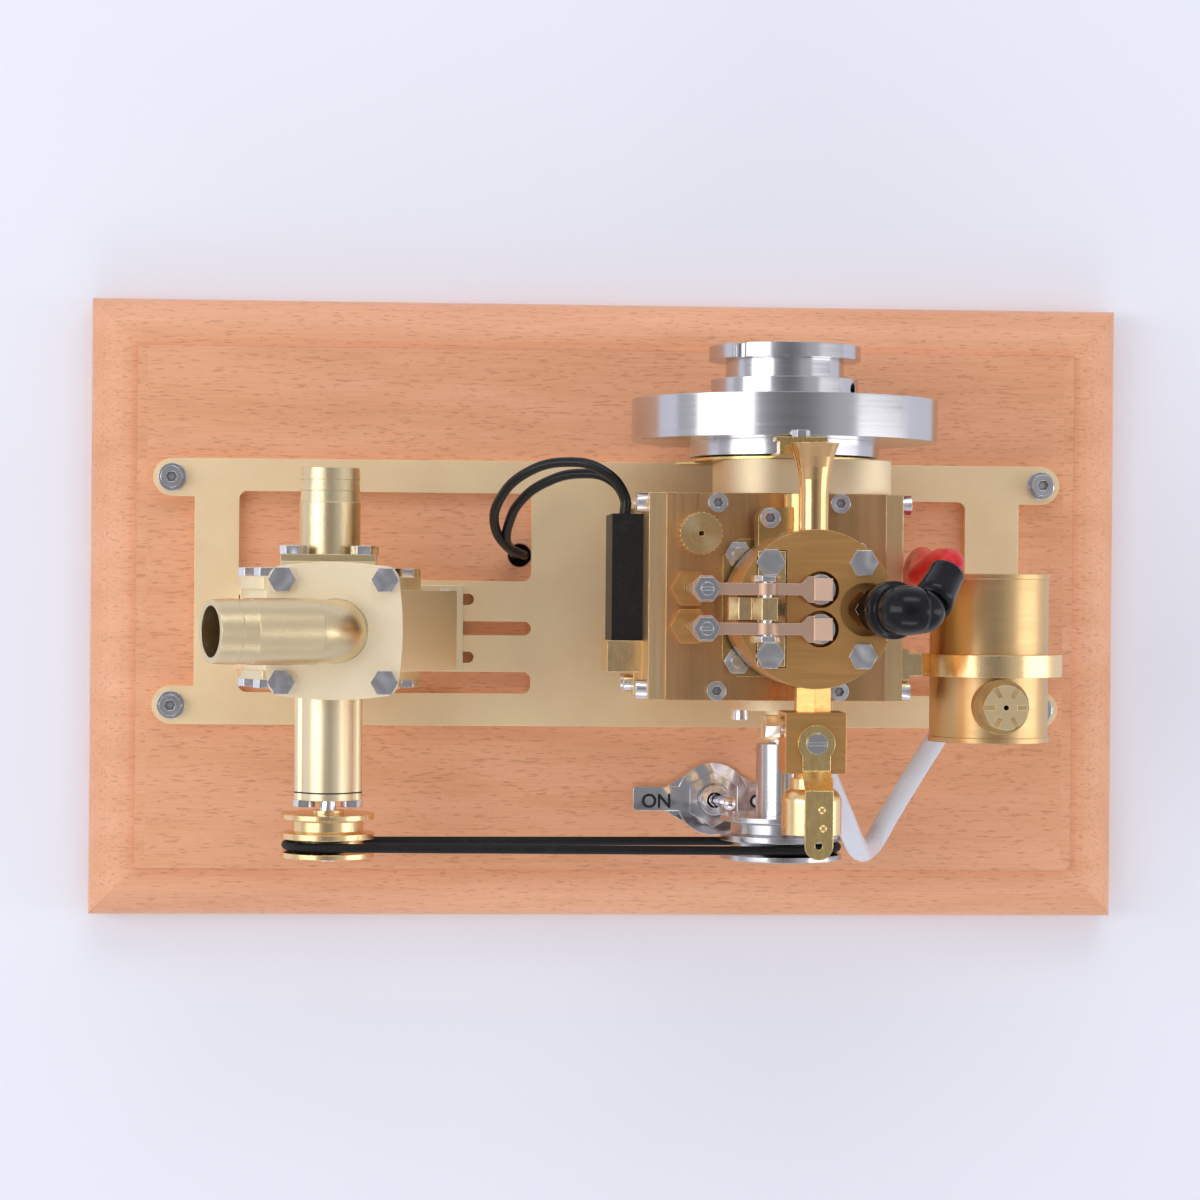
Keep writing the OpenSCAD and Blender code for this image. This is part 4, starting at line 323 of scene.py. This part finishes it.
def word(text, left, right):
    """A word stretched between two places on the switch plate."""
    letters = bpy.data.curves.new("letters_" + text, "FONT")
    letters.body = text
    letters.extrude = 0.5
    letters.offset = STROKE_EXTRA
    holder = bpy.data.objects.new("holder_" + text, letters)
    mesh = bpy.data.meshes.new_from_object(holder)
    bpy.data.objects.remove(holder)
    xs = [vert.co.x for vert in mesh.vertices]
    ys = [vert.co.y for vert in mesh.vertices]
    wide = (right - left) / (max(xs) - min(xs))
    tall = (WORD_HIGH - WORD_LOW) / (max(ys) - min(ys))
    size = Matrix.Diagonal((wide * MM, tall * MM, STAMP_THICKNESS * MM, 1.0))
    to = Vector((left - min(xs) * wide, WORD_LOW - min(ys) * tall, TAB_TOP)) * MM
    mesh.transform(Matrix.Translation(to) @ size)
    mesh.name = "word_" + text.lower()
    made = bpy.data.objects.new(mesh.name, mesh)
    bpy.context.scene.collection.objects.link(made)
    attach(made, "frame")
    return made


words = [word("ON", ON_LEFT, ON_RIGHT), word("OFF", OFF_LEFT, OFF_RIGHT)]
print("words", [piece.name for piece in words])

# %% [markdown]
# ## Two dimples in the throttle lever
# The flat arm of the lever carries two small raised dimples. Each is a low cap: a sphere pressed
# flat and sunk into the arm, so that only its top shows. They ride on the throttle, and turn with
# it.

# %% Dimples
lever_low, lever_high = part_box("throttle_lever")
DIMPLE_RADIUS, DIMPLE_RISE = 0.85, 0.35
LEVER_TOP = 118.5
DIMPLE_PLACES = ((40.6, -42.3), (40.9, -46.3))
shape = bmesh.new()
for x, y in DIMPLE_PLACES:
    press = Matrix.Diagonal((1.0, 1.0, DIMPLE_RISE / DIMPLE_RADIUS, 1.0))
    to = Matrix.Translation((x * MM, y * MM, LEVER_TOP * MM))
    bmesh.ops.create_uvsphere(
        shape, u_segments=20, v_segments=12, radius=DIMPLE_RADIUS * MM, matrix=to @ press
    )
for face in shape.faces:
    face.smooth = True
dimples = finished("lever_dimples", shape, "throttle")
print("lever top", round(lever_high.z / MM, 2), "front", round(lever_low.y / MM, 2), "mm")

# %% [markdown]
# ## Writing shaders as sums
# A finish is easier to read as arithmetic than as a web of nodes. The class below wraps one socket
# of a node, so that two values can be added, multiplied or mixed with the usual signs, and each
# sign puts one Math node in the material.


# %% Shader arithmetic
class Value:
    """A socket that can be used in a sum."""

    def __init__(self, shade, socket):
        self.shade = shade
        self.socket = socket

    def _math(self, operation, a, b):
        return self.shade.node("ShaderNodeMath", {"operation": operation}, [a, b])

    def __add__(self, other):
        return self._math("ADD", self, other)

    def __radd__(self, other):
        return self._math("ADD", other, self)

    def __sub__(self, other):
        return self._math("SUBTRACT", self, other)

    def __rsub__(self, other):
        return self._math("SUBTRACT", other, self)

    def __mul__(self, other):
        return self._math("MULTIPLY", self, other)

    def __rmul__(self, other):
        return self._math("MULTIPLY", other, self)

    def __truediv__(self, other):
        return self._math("DIVIDE", self, other)

    def above(self, edge):
        """One where the value is over the edge, and nought elsewhere."""
        return self._math("GREATER_THAN", self, edge)


class Shade:
    """One material, its main shader, and the ways to feed it."""

    def __init__(self, name, colour, roughness, metallic=0.0):
        self.material = bpy.data.materials.new(name)
        self.material.use_nodes = True
        self.tree = self.material.node_tree
        self.main = self.tree.nodes["Principled BSDF"]
        self.set("Base Color", (*colour, 1.0))
        self.set("Roughness", roughness)
        self.set("Metallic", metallic)

    def set(self, name, value):
        """Gives a socket of the main shader a fixed value or a link."""
        self._put(self.main.inputs[name], value)
        return self

    def _put(self, socket, value):
        if isinstance(value, Value):
            self.tree.links.new(value.socket, socket)
        elif socket.type == "RGBA" and len(value) == 3:
            socket.default_value = (*value, 1.0)
        else:
            socket.default_value = value

    def node(self, kind, settings, inputs, output=0):
        """Adds a node: its settings first, then its inputs, by place or by name."""
        made = self.tree.nodes.new(kind)
        for key, value in settings.items():
            if key == "stops":
                ramp = made.color_ramp.elements
                for i, (place, shade) in enumerate(value):
                    stop = ramp[i] if i < 2 else ramp.new(place)
                    stop.position = place
                    stop.color = (*shade, 1.0)
            else:
                setattr(made, key, value)
        pairs = inputs.items() if isinstance(inputs, dict) else enumerate(inputs)
        for key, value in pairs:
            if value is not None:
                self._put(made.inputs[key], value)
        return Value(self, made.outputs[output])

    def place(self, scale=(1.0, 1.0, 1.0), move=(0.0, 0.0, 0.0), turn=(0.0, 0.0, 0.0)):
        """The object's own coordinates, moved, turned and stretched."""
        at = self.node("ShaderNodeTexCoord", {}, [], "Object")
        return self.node(
            "ShaderNodeMapping",
            {},
            {"Vector": at, "Location": move, "Rotation": turn, "Scale": scale},
        )

    def noise(self, place, scale, detail=3.0, rough=0.55):
        return self.node(
            "ShaderNodeTexNoise",
            {},
            {"Vector": place, "Scale": scale, "Detail": detail, "Roughness": rough},
        )

    def axis(self, place, name):
        return self.node("ShaderNodeSeparateXYZ", {}, [place], name)

    def ramp(self, value, *stops):
        return self.node("ShaderNodeValToRGB", {"stops": stops}, [value])

    def blend(self, factor, a, b):
        """A colour between a and b."""
        return self.node(
            "ShaderNodeMix", {"data_type": "RGBA"}, {0: factor, 6: a, 7: b}, 2
        )

    def bump(self, height, strength, depth, normal=None):
        return self.node(
            "ShaderNodeBump",
            {},
            {"Strength": strength, "Distance": depth, "Height": height, "Normal": normal},
        )

    def soft_edges(self, radius):
        """A normal that rounds the sharp edges of a solid by a small radius."""
        return self.node("ShaderNodeBevel", {"samples": 4}, {"Radius": radius})

    def edge_highlight(self, rounded):
        """One along the edges, where the rounded normal leaves the flat one: the mask of a painted
        edge highlight.
        """
        flat = self.node("ShaderNodeNewGeometry", {}, [], "Normal")
        product = {"operation": "DOT_PRODUCT"}
        same = self.node("ShaderNodeVectorMath", product, [rounded, flat], "Value")
        clamped = {"operation": "MULTIPLY", "use_clamp": True}
        return self.node("ShaderNodeMath", clamped, [1.0 - same, HIGHLIGHT_REACH])

    def between(self, value, low, high):
        """One where the value is between two edges."""
        return value.above(low) * (1.0 - value.above(high))

    def reach(self, centre, across):
        """The distance from a line through the centre, given in mm; across holds 1, 1, 0 for a
        line along Z, and 1, 0, 1 for one along Y."""
        move = tuple(-c * MM * a for c, a in zip(centre, across))
        at = self.place(across, move)
        return self.node("ShaderNodeVectorMath", {"operation": "LENGTH"}, [at], "Value")

    def wave_1d(self, value, scale, detail=2.0):
        """Noise that depends on one number, as the marks of a lathe tool do."""
        inputs = {"W": value, "Scale": scale, "Detail": detail}
        return self.node("ShaderNodeTexNoise", {"noise_dimensions": "1D"}, inputs)

    def shade_of_recess(self, depth):
        """One on open faces, less inside a socket or a narrow gap."""
        settings = {"samples": 4, "only_local": True}
        return self.node("ShaderNodeAmbientOcclusion", settings, {"Distance": depth}, "AO")

    def paint(self, mask, colour, **numbers):
        """Lays another finish over the present one where the mask is one."""
        self.set("Base Color", self.blend(mask, self._now("Base Color"), colour))
        for name, number in numbers.items():
            before = self._now(name)
            self.set(name, mask * number + (1.0 - mask) * before)
        return self

    def _now(self, name):
        socket = self.main.inputs[name]
        if socket.is_linked:
            return Value(self, socket.links[0].from_socket)
        held = socket.default_value
        return tuple(held) if socket.type == "RGBA" else held


EDGE = 0.25 * MM
# How quickly the painted edge highlight comes in as the rounded normal leaves the flat one.
HIGHLIGHT_REACH = 7.0
BLACK, WHITE = (0.0, 0.0, 0.0), (1.0, 1.0, 1.0)

# %% [markdown]
# ## Oiled beech
# Beech has a pink tan ground with broad, faint bands, and thousands of short darker dashes that lie
# along the grain. The bands are noise stretched far along the grain; the dashes are a finer noise,
# stretched less, of which only the peaks are kept. The two short borders are mitred, so their grain
# runs the other way: a mask finds them by their distance from the edges.

# %% Beech
beech = Shade("beech", (0.70, 0.39, 0.25), 0.42)
board_low, board_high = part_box("wood_base")
BORDER_WIDTH = 15.0 * MM


def grain(turned):
    """The ground, the fibre and the dashes, along X or turned along Y."""
    turn = (0.0, 0.0, math.pi / 2 if turned else 0.0)
    bands = beech.noise(beech.place((1.0, 8.0, 8.0), turn=turn), 11.0, 4.0)
    fibre = beech.noise(beech.place((1.0, 30.0, 30.0), turn=turn), 70.0, 3.0)
    dashes = beech.noise(beech.place((1.0, 6.5, 6.5), turn=turn), 330.0, 2.0, 0.4)
    return bands, fibre, dashes


at = beech.place()
middle = (board_low + board_high) / 2
to_side = (board_high.x - board_low.x) / 2 - beech.node(
    "ShaderNodeMath", {"operation": "ABSOLUTE"}, [beech.axis(at, "X") - middle.x]
)
to_front = (board_high.y - board_low.y) / 2 - beech.node(
    "ShaderNodeMath", {"operation": "ABSOLUTE"}, [beech.axis(at, "Y") - middle.y]
)
mitred = (to_front - to_side).above(0.0) * (BORDER_WIDTH - to_side).above(0.0)
bands, fibre, dashes = (
    mitred * across + (1.0 - mitred) * along for along, across in zip(grain(False), grain(True))
)
ground = beech.ramp(
    bands * 0.6 + fibre * 0.4,
    (0.30, (0.72, 0.325, 0.160)),
    (0.50, (0.84, 0.405, 0.222)),
    (0.70, (0.92, 0.475, 0.285)),
)
fleck = beech.ramp(dashes, (0.60, BLACK), (0.66, WHITE))
beech.set("Base Color", beech.blend(fleck * 0.4, ground, (0.46, 0.175, 0.080)))
beech.set("Roughness", 0.38 + fibre * 0.16)
beech.set("Normal", beech.bump(fibre - fleck * 0.5, 0.10, 0.2 * MM, beech.soft_edges(0.6 * MM)))
print("board", [round(x / MM, 1) for x in board_high - board_low], "mm")

# %% [markdown]
# ## Brass in its several finishes
# The base plate is bead-blasted, so it is pale and even; the crankcase is milled, so it is darker
# and shows fine parallel lines; the small levers are polished. One function makes them all, from a
# colour, a roughness, and the size of the grain or the direction of the tool's lines.


# %% Brass
def metal(
    name, colour, roughness, grain=0.0, lines=None, bands=None, spread=0.12, edge_highlight=0.5, uneven=0.0
):
    """A metal with a blasted grain, a cutter's lines, bands of tone or uneven faces; the bands are
    partly the tool's passes and partly painted reflection, and the edges carry a painted highlight.
    """
    made = Shade(name, colour, roughness, 1.0)
    rounded = made.soft_edges(EDGE)
    cloud = made.noise(made.place(), 60.0, 3.0)
    # Paler and darker bands across the tool's passes: partly the real milled surface, partly
    # painted reflection of the milling lines.
    if bands:
        reflection_stripes = made.noise(made.place(bands), 150.0, 2.0, 0.5)
        cloud = made.ramp(cloud * 0.3 + reflection_stripes * 0.7, (0.36, BLACK), (0.64, WHITE))
    dark = tuple(c * (1.0 - spread) for c in colour)
    pale = tuple(min(1.0, c * (1.0 + spread)) for c in colour)
    bright = tuple(min(1.0, c * 1.45 + 0.03) for c in colour)
    made.set("Base Color", made.blend(cloud, dark, pale))
    # Painted highlight: the colour turns paler along the rounded edges, where they would catch the
    # light.
    made.paint(made.edge_highlight(rounded) * edge_highlight, bright)
    normal = rounded
    if uneven:
        dents = made.noise(made.place(), 240.0, 0.0)
        normal = made.bump(dents, uneven, 1.2 * MM, normal)
    if grain:
        specks = made.noise(made.place(), 2600.0, 2.0)
        made.set("Roughness", roughness - 0.06 + specks * 0.12)
        normal = made.bump(specks, grain, 0.08 * MM, normal)
    if lines:
        cuts = made.noise(made.place(lines), 1500.0, 2.0, 0.4)
        made.set("Roughness", roughness - 0.09 + cuts * 0.18)
        normal = made.bump(cuts, 0.08, 0.05 * MM, normal)
    made.set("Normal", normal)
    return made


BLASTED, SATIN = 0.58, 0.36
# Blasted and cream brass carry a weaker painted edge highlight than the other metals.
blasted = metal("blasted_brass", (1.0, 0.74, 0.47), BLASTED, grain=0.35, edge_highlight=0.25)
cream = metal("cream_brass", (0.94, 0.76, 0.52), BLASTED, grain=0.4, edge_highlight=0.25)
# The milled brass has bands of tone that are partly painted reflection of its milling lines.
milled = metal(
    "milled_brass",
    (0.70, 0.405, 0.19),
    0.3,
    lines=(1.0, 0.02, 0.3),
    bands=(1.0, 0.01, 0.02),
    spread=0.17,
)
flank = metal("flank_brass", (0.86, 0.60, 0.32), 0.34, lines=(1.0, 0.02, 0.3), spread=0.1)
tank_brass = metal("tank_brass", (0.66, 0.44, 0.21), 0.36, lines=(0.02, 1.0, 0.02), spread=0.06)
cap_brass = metal("cap_brass", (0.86, 0.66, 0.38), 0.42, grain=0.2, spread=0.06)
satin = metal(
    "satin_brass", (0.76, 0.41, 0.145), SATIN, grain=0.1, lines=(0.04, 1.0, 1.0), spread=0.1
)
barrel = metal("barrel_brass", (0.60, 0.41, 0.17), 0.26, lines=(0.02, 0.02, 1.0), spread=0.12)
cast = metal("cast_brass", (0.92, 0.78, 0.52), 0.5, grain=0.45, spread=0.07)
pipe_brass = metal("pipe_brass", (0.74, 0.60, 0.37), 0.3, grain=0.6, spread=0.08)
olive = metal("olive_brass", (0.74, 0.60, 0.37), 0.3, grain=0.6, spread=0.08)
yellow = metal("yellow_brass", (0.88, 0.63, 0.33), 0.24, lines=(1.0, 0.3, 1.0), spread=0.08)
rose = metal("rose_brass", (0.70, 0.44, 0.21), 0.16, lines=(1.0, 0.05, 0.05))
steel = metal("stainless", (0.80, 0.78, 0.79), 0.2, spread=0.05, uneven=0.55)
chrome = metal("chromed_steel", (0.86, 0.84, 0.86), 0.14, spread=0.03, uneven=0.25)
silver = metal(
    "turned_aluminium", (0.56, 0.55, 0.57), 0.18, lines=(0.02, 1.0, 0.02), spread=0.04
)
print("brass finishes made")

# %% [markdown]
# ## Sockets that look deep
# A hexagon socket is a dark hole with a bright rim. The hole is in the solid already, but under a
# wide soft light its bottom is nearly as bright as the head, so an ambient occlusion node, which
# knows how closed in a point is, darkens it.

# %% Dark sockets
SOCKET_DEPTH = 1.4 * MM
for made in (steel, chrome):
    shut = 1.0 - made.shade_of_recess(SOCKET_DEPTH)
    hidden = made.ramp(shut, (0.25, BLACK), (0.62, WHITE))
    made.paint(hidden * 0.85, (0.05, 0.045, 0.045))
print("socket depth", SOCKET_DEPTH / MM, "mm")

# %% [markdown]
# ## Pieces with more than one finish
# Some small parts are one solid in the CAD but several metals on the real machine: the rocker is
# blasted bronze with a steel adjuster and a bare copper pad, and the pump's elbow has a blasted
# flange. The mask is a place in the object's own coordinates, so it moves with the part. The places
# are in millimetres, as in the CAD.

# %% Several finishes on one piece
STEEL_TINT, BLACK_TINT = (0.66, 0.65, 0.67), (0.02, 0.02, 0.02)
FLANGE_LOW, FLANGE_TOP = 75.0, 80.02
PAD_X = 37.9
ADJUSTER_X, ADJUSTER_Z = 18.4, 122.72
LEVER_SCREW, LEVER_SCREW_RADIUS, LEVER_SCREW_Z = (40.0, -28.1, 0.0), 2.75, 113.55
SEAL_FRONT, SEAL_REAR = -43.18, -42.82
PORCELAIN_Z = 124.4
PICKUP_Y, PICKUP_Z = 39.9, 94.2
KNOB_PIP = 0.5
ALONG_Z = (1.0, 1.0, 0.0)


def axis_mm(made, name):
    """One coordinate of the piece, in millimetres."""
    return made.axis(made.place((1 / MM, 1 / MM, 1 / MM)), name)


bronze = metal("rocker_bronze", (0.62, 0.41, 0.30), 0.48, grain=0.35, spread=0.08)
z = axis_mm(olive, "Z")
olive.paint(
    (FLANGE_TOP - z).above(0.0) * z.above(FLANGE_LOW), (1.0, 0.87, 0.64), Roughness=0.62
)

x, z = axis_mm(bronze, "X"), axis_mm(bronze, "Z")
bronze.paint(x.above(PAD_X), (0.95, 0.66, 0.49), Roughness=0.5)
bronze.paint((ADJUSTER_X - x).above(0.0) * z.above(ADJUSTER_Z), STEEL_TINT, Roughness=0.2)

lever_brass = metal("lever_brass", (0.88, 0.63, 0.27), 0.26, lines=(1.0, 0.3, 1.0), spread=0.08)
z = axis_mm(lever_brass, "Z")
near = LEVER_SCREW_RADIUS - lever_brass.reach(LEVER_SCREW, ALONG_Z) / MM
lever_brass.paint(near.above(0.0) * z.above(LEVER_SCREW_Z), STEEL_TINT, Roughness=0.22)

housing = metal("housing_brass", (0.86, 0.72, 0.48), 0.38, lines=(1.0, 0.02, 1.0), spread=0.06)
y = axis_mm(housing, "Y")
housing.paint(housing.between(y, SEAL_FRONT, SEAL_REAR), BLACK_TINT, Metallic=0.0, Roughness=0.5)

plug = metal("plug_steel", (0.60, 0.59, 0.60), 0.2, spread=0.05)
z = axis_mm(plug, "Z")
plug.paint(z.above(PORCELAIN_Z), (0.85, 0.83, 0.80), Metallic=0.0, Roughness=0.2)

sensor = metal("sensor_brass", (0.76, 0.54, 0.22), 0.25, lines=(1.0, 1.0, 0.2), spread=0.08)
y, z = axis_mm(sensor, "Y"), axis_mm(sensor, "Z")
sensor.paint(y.above(PICKUP_Y) * z.above(PICKUP_Z), STEEL_TINT, Roughness=0.25)

knob = metal("knob_brass", (0.74, 0.49, 0.22), 0.3, spread=0.1)
knob_low, knob_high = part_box("oil_cap")
knob_x, knob_y = (knob_low.x + knob_high.x) / 2 / MM, (knob_low.y + knob_high.y) / 2 / MM
ring = knob.reach((knob_x, knob_y, 0.0), ALONG_Z)
marks = knob.wave_1d(ring, 2600.0)
knob.set("Roughness", 0.2 + marks * 0.2)
knob.set("Normal", knob.bump(marks, 0.35, 0.08 * MM, knob.soft_edges(EDGE)))
# A painted highlight: a bow-tie of paler colour across the turned face, standing in for the light
# that the face mirrors.
from_middle = knob.place(move=(-knob_x * MM, -knob_y * MM, 0.0))
wedge = knob.axis(from_middle, "X") * knob.axis(from_middle, "Y") / (ring * ring + 1e-7)
streak = knob.ramp(0.5 - wedge, (0.45, BLACK), (1.0, WHITE))
knob.paint(streak * 0.6, (1.0, 0.78, 0.45))
knob.paint((KNOB_PIP * MM - ring).above(0.0), (0.03, 0.02, 0.01), Roughness=0.6)
print("two-metal pieces made; knob centre", round(knob_x, 1), round(knob_y, 1))

# %% [markdown]
# ## Rubber, lead, hose and moulded covers
# None of these is a metal, so each is a plain colour with the right gloss: the boot shines, the
# belt and the ignition module are dull, and the hose is milky and lets light through.


# %% Soft materials
def plain(name, colour, roughness, coat=0.0):
    """A soft material of one colour, with softened edges."""
    made = Shade(name, colour, roughness)
    made.set("Specular IOR Level", 0.2)
    made.set("Coat Weight", coat)
    made.set("Normal", made.soft_edges(EDGE))
    return made


def dusted(name, colour, roughness, dust, amount, coat=0.0):
    """Rubber or plastic with a little dust and a fine skin."""
    made = plain(name, colour, roughness, coat)
    cloud = made.noise(made.place(), 180.0, 4.0, 0.7)
    skin = made.noise(made.place(), 1400.0, 2.0)
    specks = made.ramp(skin * 0.5 + cloud * 0.5, (0.52, BLACK), (0.66, WHITE))
    made.set("Base Color", made.blend(specks * amount, colour, dust))
    made.set("Roughness", roughness - 0.05 + skin * 0.12)
    made.set("Normal", made.bump(skin, 0.12, 0.05 * MM, made.soft_edges(EDGE)))
    return made


DUST = (0.10, 0.10, 0.10)
boot_black = dusted("boot_rubber", (0.006, 0.006, 0.008), 0.2, DUST, 0.10, 0.1)
belt_black = dusted("belt_rubber", (0.010, 0.010, 0.011), 0.5, DUST, 0.12)
wire_black = dusted("wire_sleeve", (0.010, 0.010, 0.011), 0.32, DUST, 0.1, 0.2)
module_black = dusted("module_black", (0.014, 0.014, 0.016), 0.42, DUST, 0.12)
lead_red = dusted("red_lead", (0.66, 0.014, 0.020), 0.35, (0.75, 0.16, 0.14), 0.3, 0.2)
hose_white = dusted("milky_hose", (0.80, 0.81, 0.88), 0.28, (0.88, 0.88, 0.92), 0.6, 0.2)
hose_white.set("Alpha", 0.86)
ink = dusted("stamp_ink", (0.02, 0.02, 0.025), 0.5, DUST, 0.1)
NEW_PIECES = (
    (hose_white, [hose]),
    (lead_red, [lead]),
    (wire_black, [low_wire, high_wire]),
    (belt_black, [belt]),
    (boot_black, [boot, boot_sleeve]),
    (steel, springs),
    (ink, words),
    (lever_brass, [dimples]),
)
for finish, made_pieces in NEW_PIECES:
    for piece in made_pieces:
        piece.data.materials.clear()
        piece.data.materials.append(finish.material)
print("new pieces dressed:", sum(len(made_pieces) for _, made_pieces in NEW_PIECES))

# %% [markdown]
# ## Dressing the solids
# Each CAD node takes one finish. The table below says which, so a change of finish is a change of
# one word.

# %% Finishes of the nodes
FINISHES = {
    "wood_base": beech,
    "base_plate": blasted,
    "base_screws": chrome,
    "crankcase": milled,
    "side_covers": flank,
    "top_cover": milled,
    "case_screws": steel,
    "bearing_cap": cream,
    "main_bearings": steel,
    "rear_housing": cream,
    "cylinder_barrel": barrel,
    "cylinder_head": satin,
    "cylinder_fasteners": steel,
    "spark_plug": plug,
    "exhaust_pipe": rose,
    "rocker_stand": yellow,
    "rocker_shaft": steel,
    "pushrod_guides": satin,
    "carburettor": satin,
    "air_horn": yellow,
    "fuel_tank": tank_brass,
    "tank_clamp": yellow,
    "fuel_line": hose_white,
    "ignition_module": module_black,
    "module_clamp": yellow,
    "signal_wires": wire_black,
    "plug_boot": boot_black,
    "ht_lead": lead_red,
    "switch_plate": chrome,
    "toggle_switch": chrome,
    "pump_casing": cast,
    "pump_cover": cast,
    "pump_bolts": steel,
    "outlet_elbow": olive,
    "inlet_pipe": pipe_brass,
    "pump_bearing_housing": housing,
    "drive_belt": belt_black,
    "spring_exhaust": steel,
    "spring_intake": steel,
    "crankshaft": steel,
    "flywheel": silver,
    "starter_pulley": silver,
    "drive_pulley": silver,
    "camshaft": steel,
    "piston": silver,
    "con_rod": satin,
    "rocker_exhaust": bronze,
    "rocker_intake": bronze,
    "pushrod_exhaust": steel,
    "pushrod_intake": steel,
    "valve_exhaust": steel,
    "valve_intake": steel,
    "throttle_lever": lever_brass,
    "needle_valve": steel,
    "toggle_lever": chrome,
    "tank_cap": cap_brass,
    "oil_cap": knob,
    "timing_plate": sensor,
    "pump_rotor": steel,
    "pump_pulley": yellow,
}
for name, finish in FINISHES.items():
    mesh = nodes[name].data
    mesh.materials.clear()
    mesh.materials.append(finish.material)
print("dressed", len(FINISHES), "of", len(nodes))

# %% [markdown]
# ## The studio
# The photograph has a pale lavender table and soft light. A wide floor takes the shadow. Brass
# shows what it mirrors, so the sky is dimmer overhead and the lamps stand at the sides: flat tops
# stay calm and every round part gets a bright streak beside a darker one.


# %% Floor and lamps
def flat_sheet(name, size, height):
    """A square sheet that lies level."""
    shape = bmesh.new()
    bmesh.ops.create_grid(shape, x_segments=1, y_segments=1, size=size / 2)
    mesh = bpy.data.meshes.new(name)
    shape.to_mesh(mesh)
    shape.free()
    made = bpy.data.objects.new(name, mesh)
    made.location.z = height
    bpy.context.scene.collection.objects.link(made)
    return made


FLOOR_SIZE = 6.0
floor = flat_sheet("floor", FLOOR_SIZE, 0.0)
paper = Shade("paper", (0.865, 0.88, 0.96), 0.7)
floor.data.materials.append(paper.material)


def lamp(name, place, aim, size, power):
    """A white soft box that faces the aim."""
    data = bpy.data.lights.new(name, "AREA")
    data.shape = "RECTANGLE"
    data.size, data.size_y = size
    data.energy = power
    made = bpy.data.objects.new(name, data)
    made.location = place
    made.rotation_euler = (Vector(aim) - Vector(place)).to_track_quat("-Z", "Y").to_euler()
    bpy.context.scene.collection.objects.link(made)
    return made


LAMPS = (
    ("left_box", (-0.95, 0.10, 0.85), (0.50, 1.00), 4.2),
    ("right_low", (1.15, -0.10, 0.45), (0.40, 1.00), 2.5),
    ("rear_box", (0.10, 1.00, 0.85), (1.00, 0.40), 3.0),
    ("front_box", (0.00, -1.15, 0.75), (1.00, 0.30), 2.5),
)
LAMP_AIM = (0.0, 0.0, 0.05)
for name, place, size, power in LAMPS:
    lamp(name, place, LAMP_AIM, size, power)

world = bpy.data.worlds.new("studio")
world.use_nodes = True
web = world.node_tree
height = web.nodes.new("ShaderNodeSeparateXYZ")
web.links.new(web.nodes.new("ShaderNodeTexCoord").outputs["Generated"], height.inputs[0])
fade = web.nodes.new("ShaderNodeValToRGB")
SKY = ((0.0, 0.62), (1.0, 0.22), (0.60, 0.72), (0.88, 0.58))
SKY_TINT = (0.98, 0.99, 1.06)
stops = fade.color_ramp.elements
for i, (up, level) in enumerate(SKY):
    stop = stops[i] if i < 2 else stops.new(up)
    stop.color = (*(level * tint for tint in SKY_TINT), 1.0)
web.links.new(height.outputs["Z"], fade.inputs["Fac"])
web.links.new(fade.outputs["Color"], web.nodes["Background"].inputs["Color"])
web.nodes["Background"].inputs["Strength"].default_value = 1.0
bpy.context.scene.world = world
print("lamps", len(LAMPS))
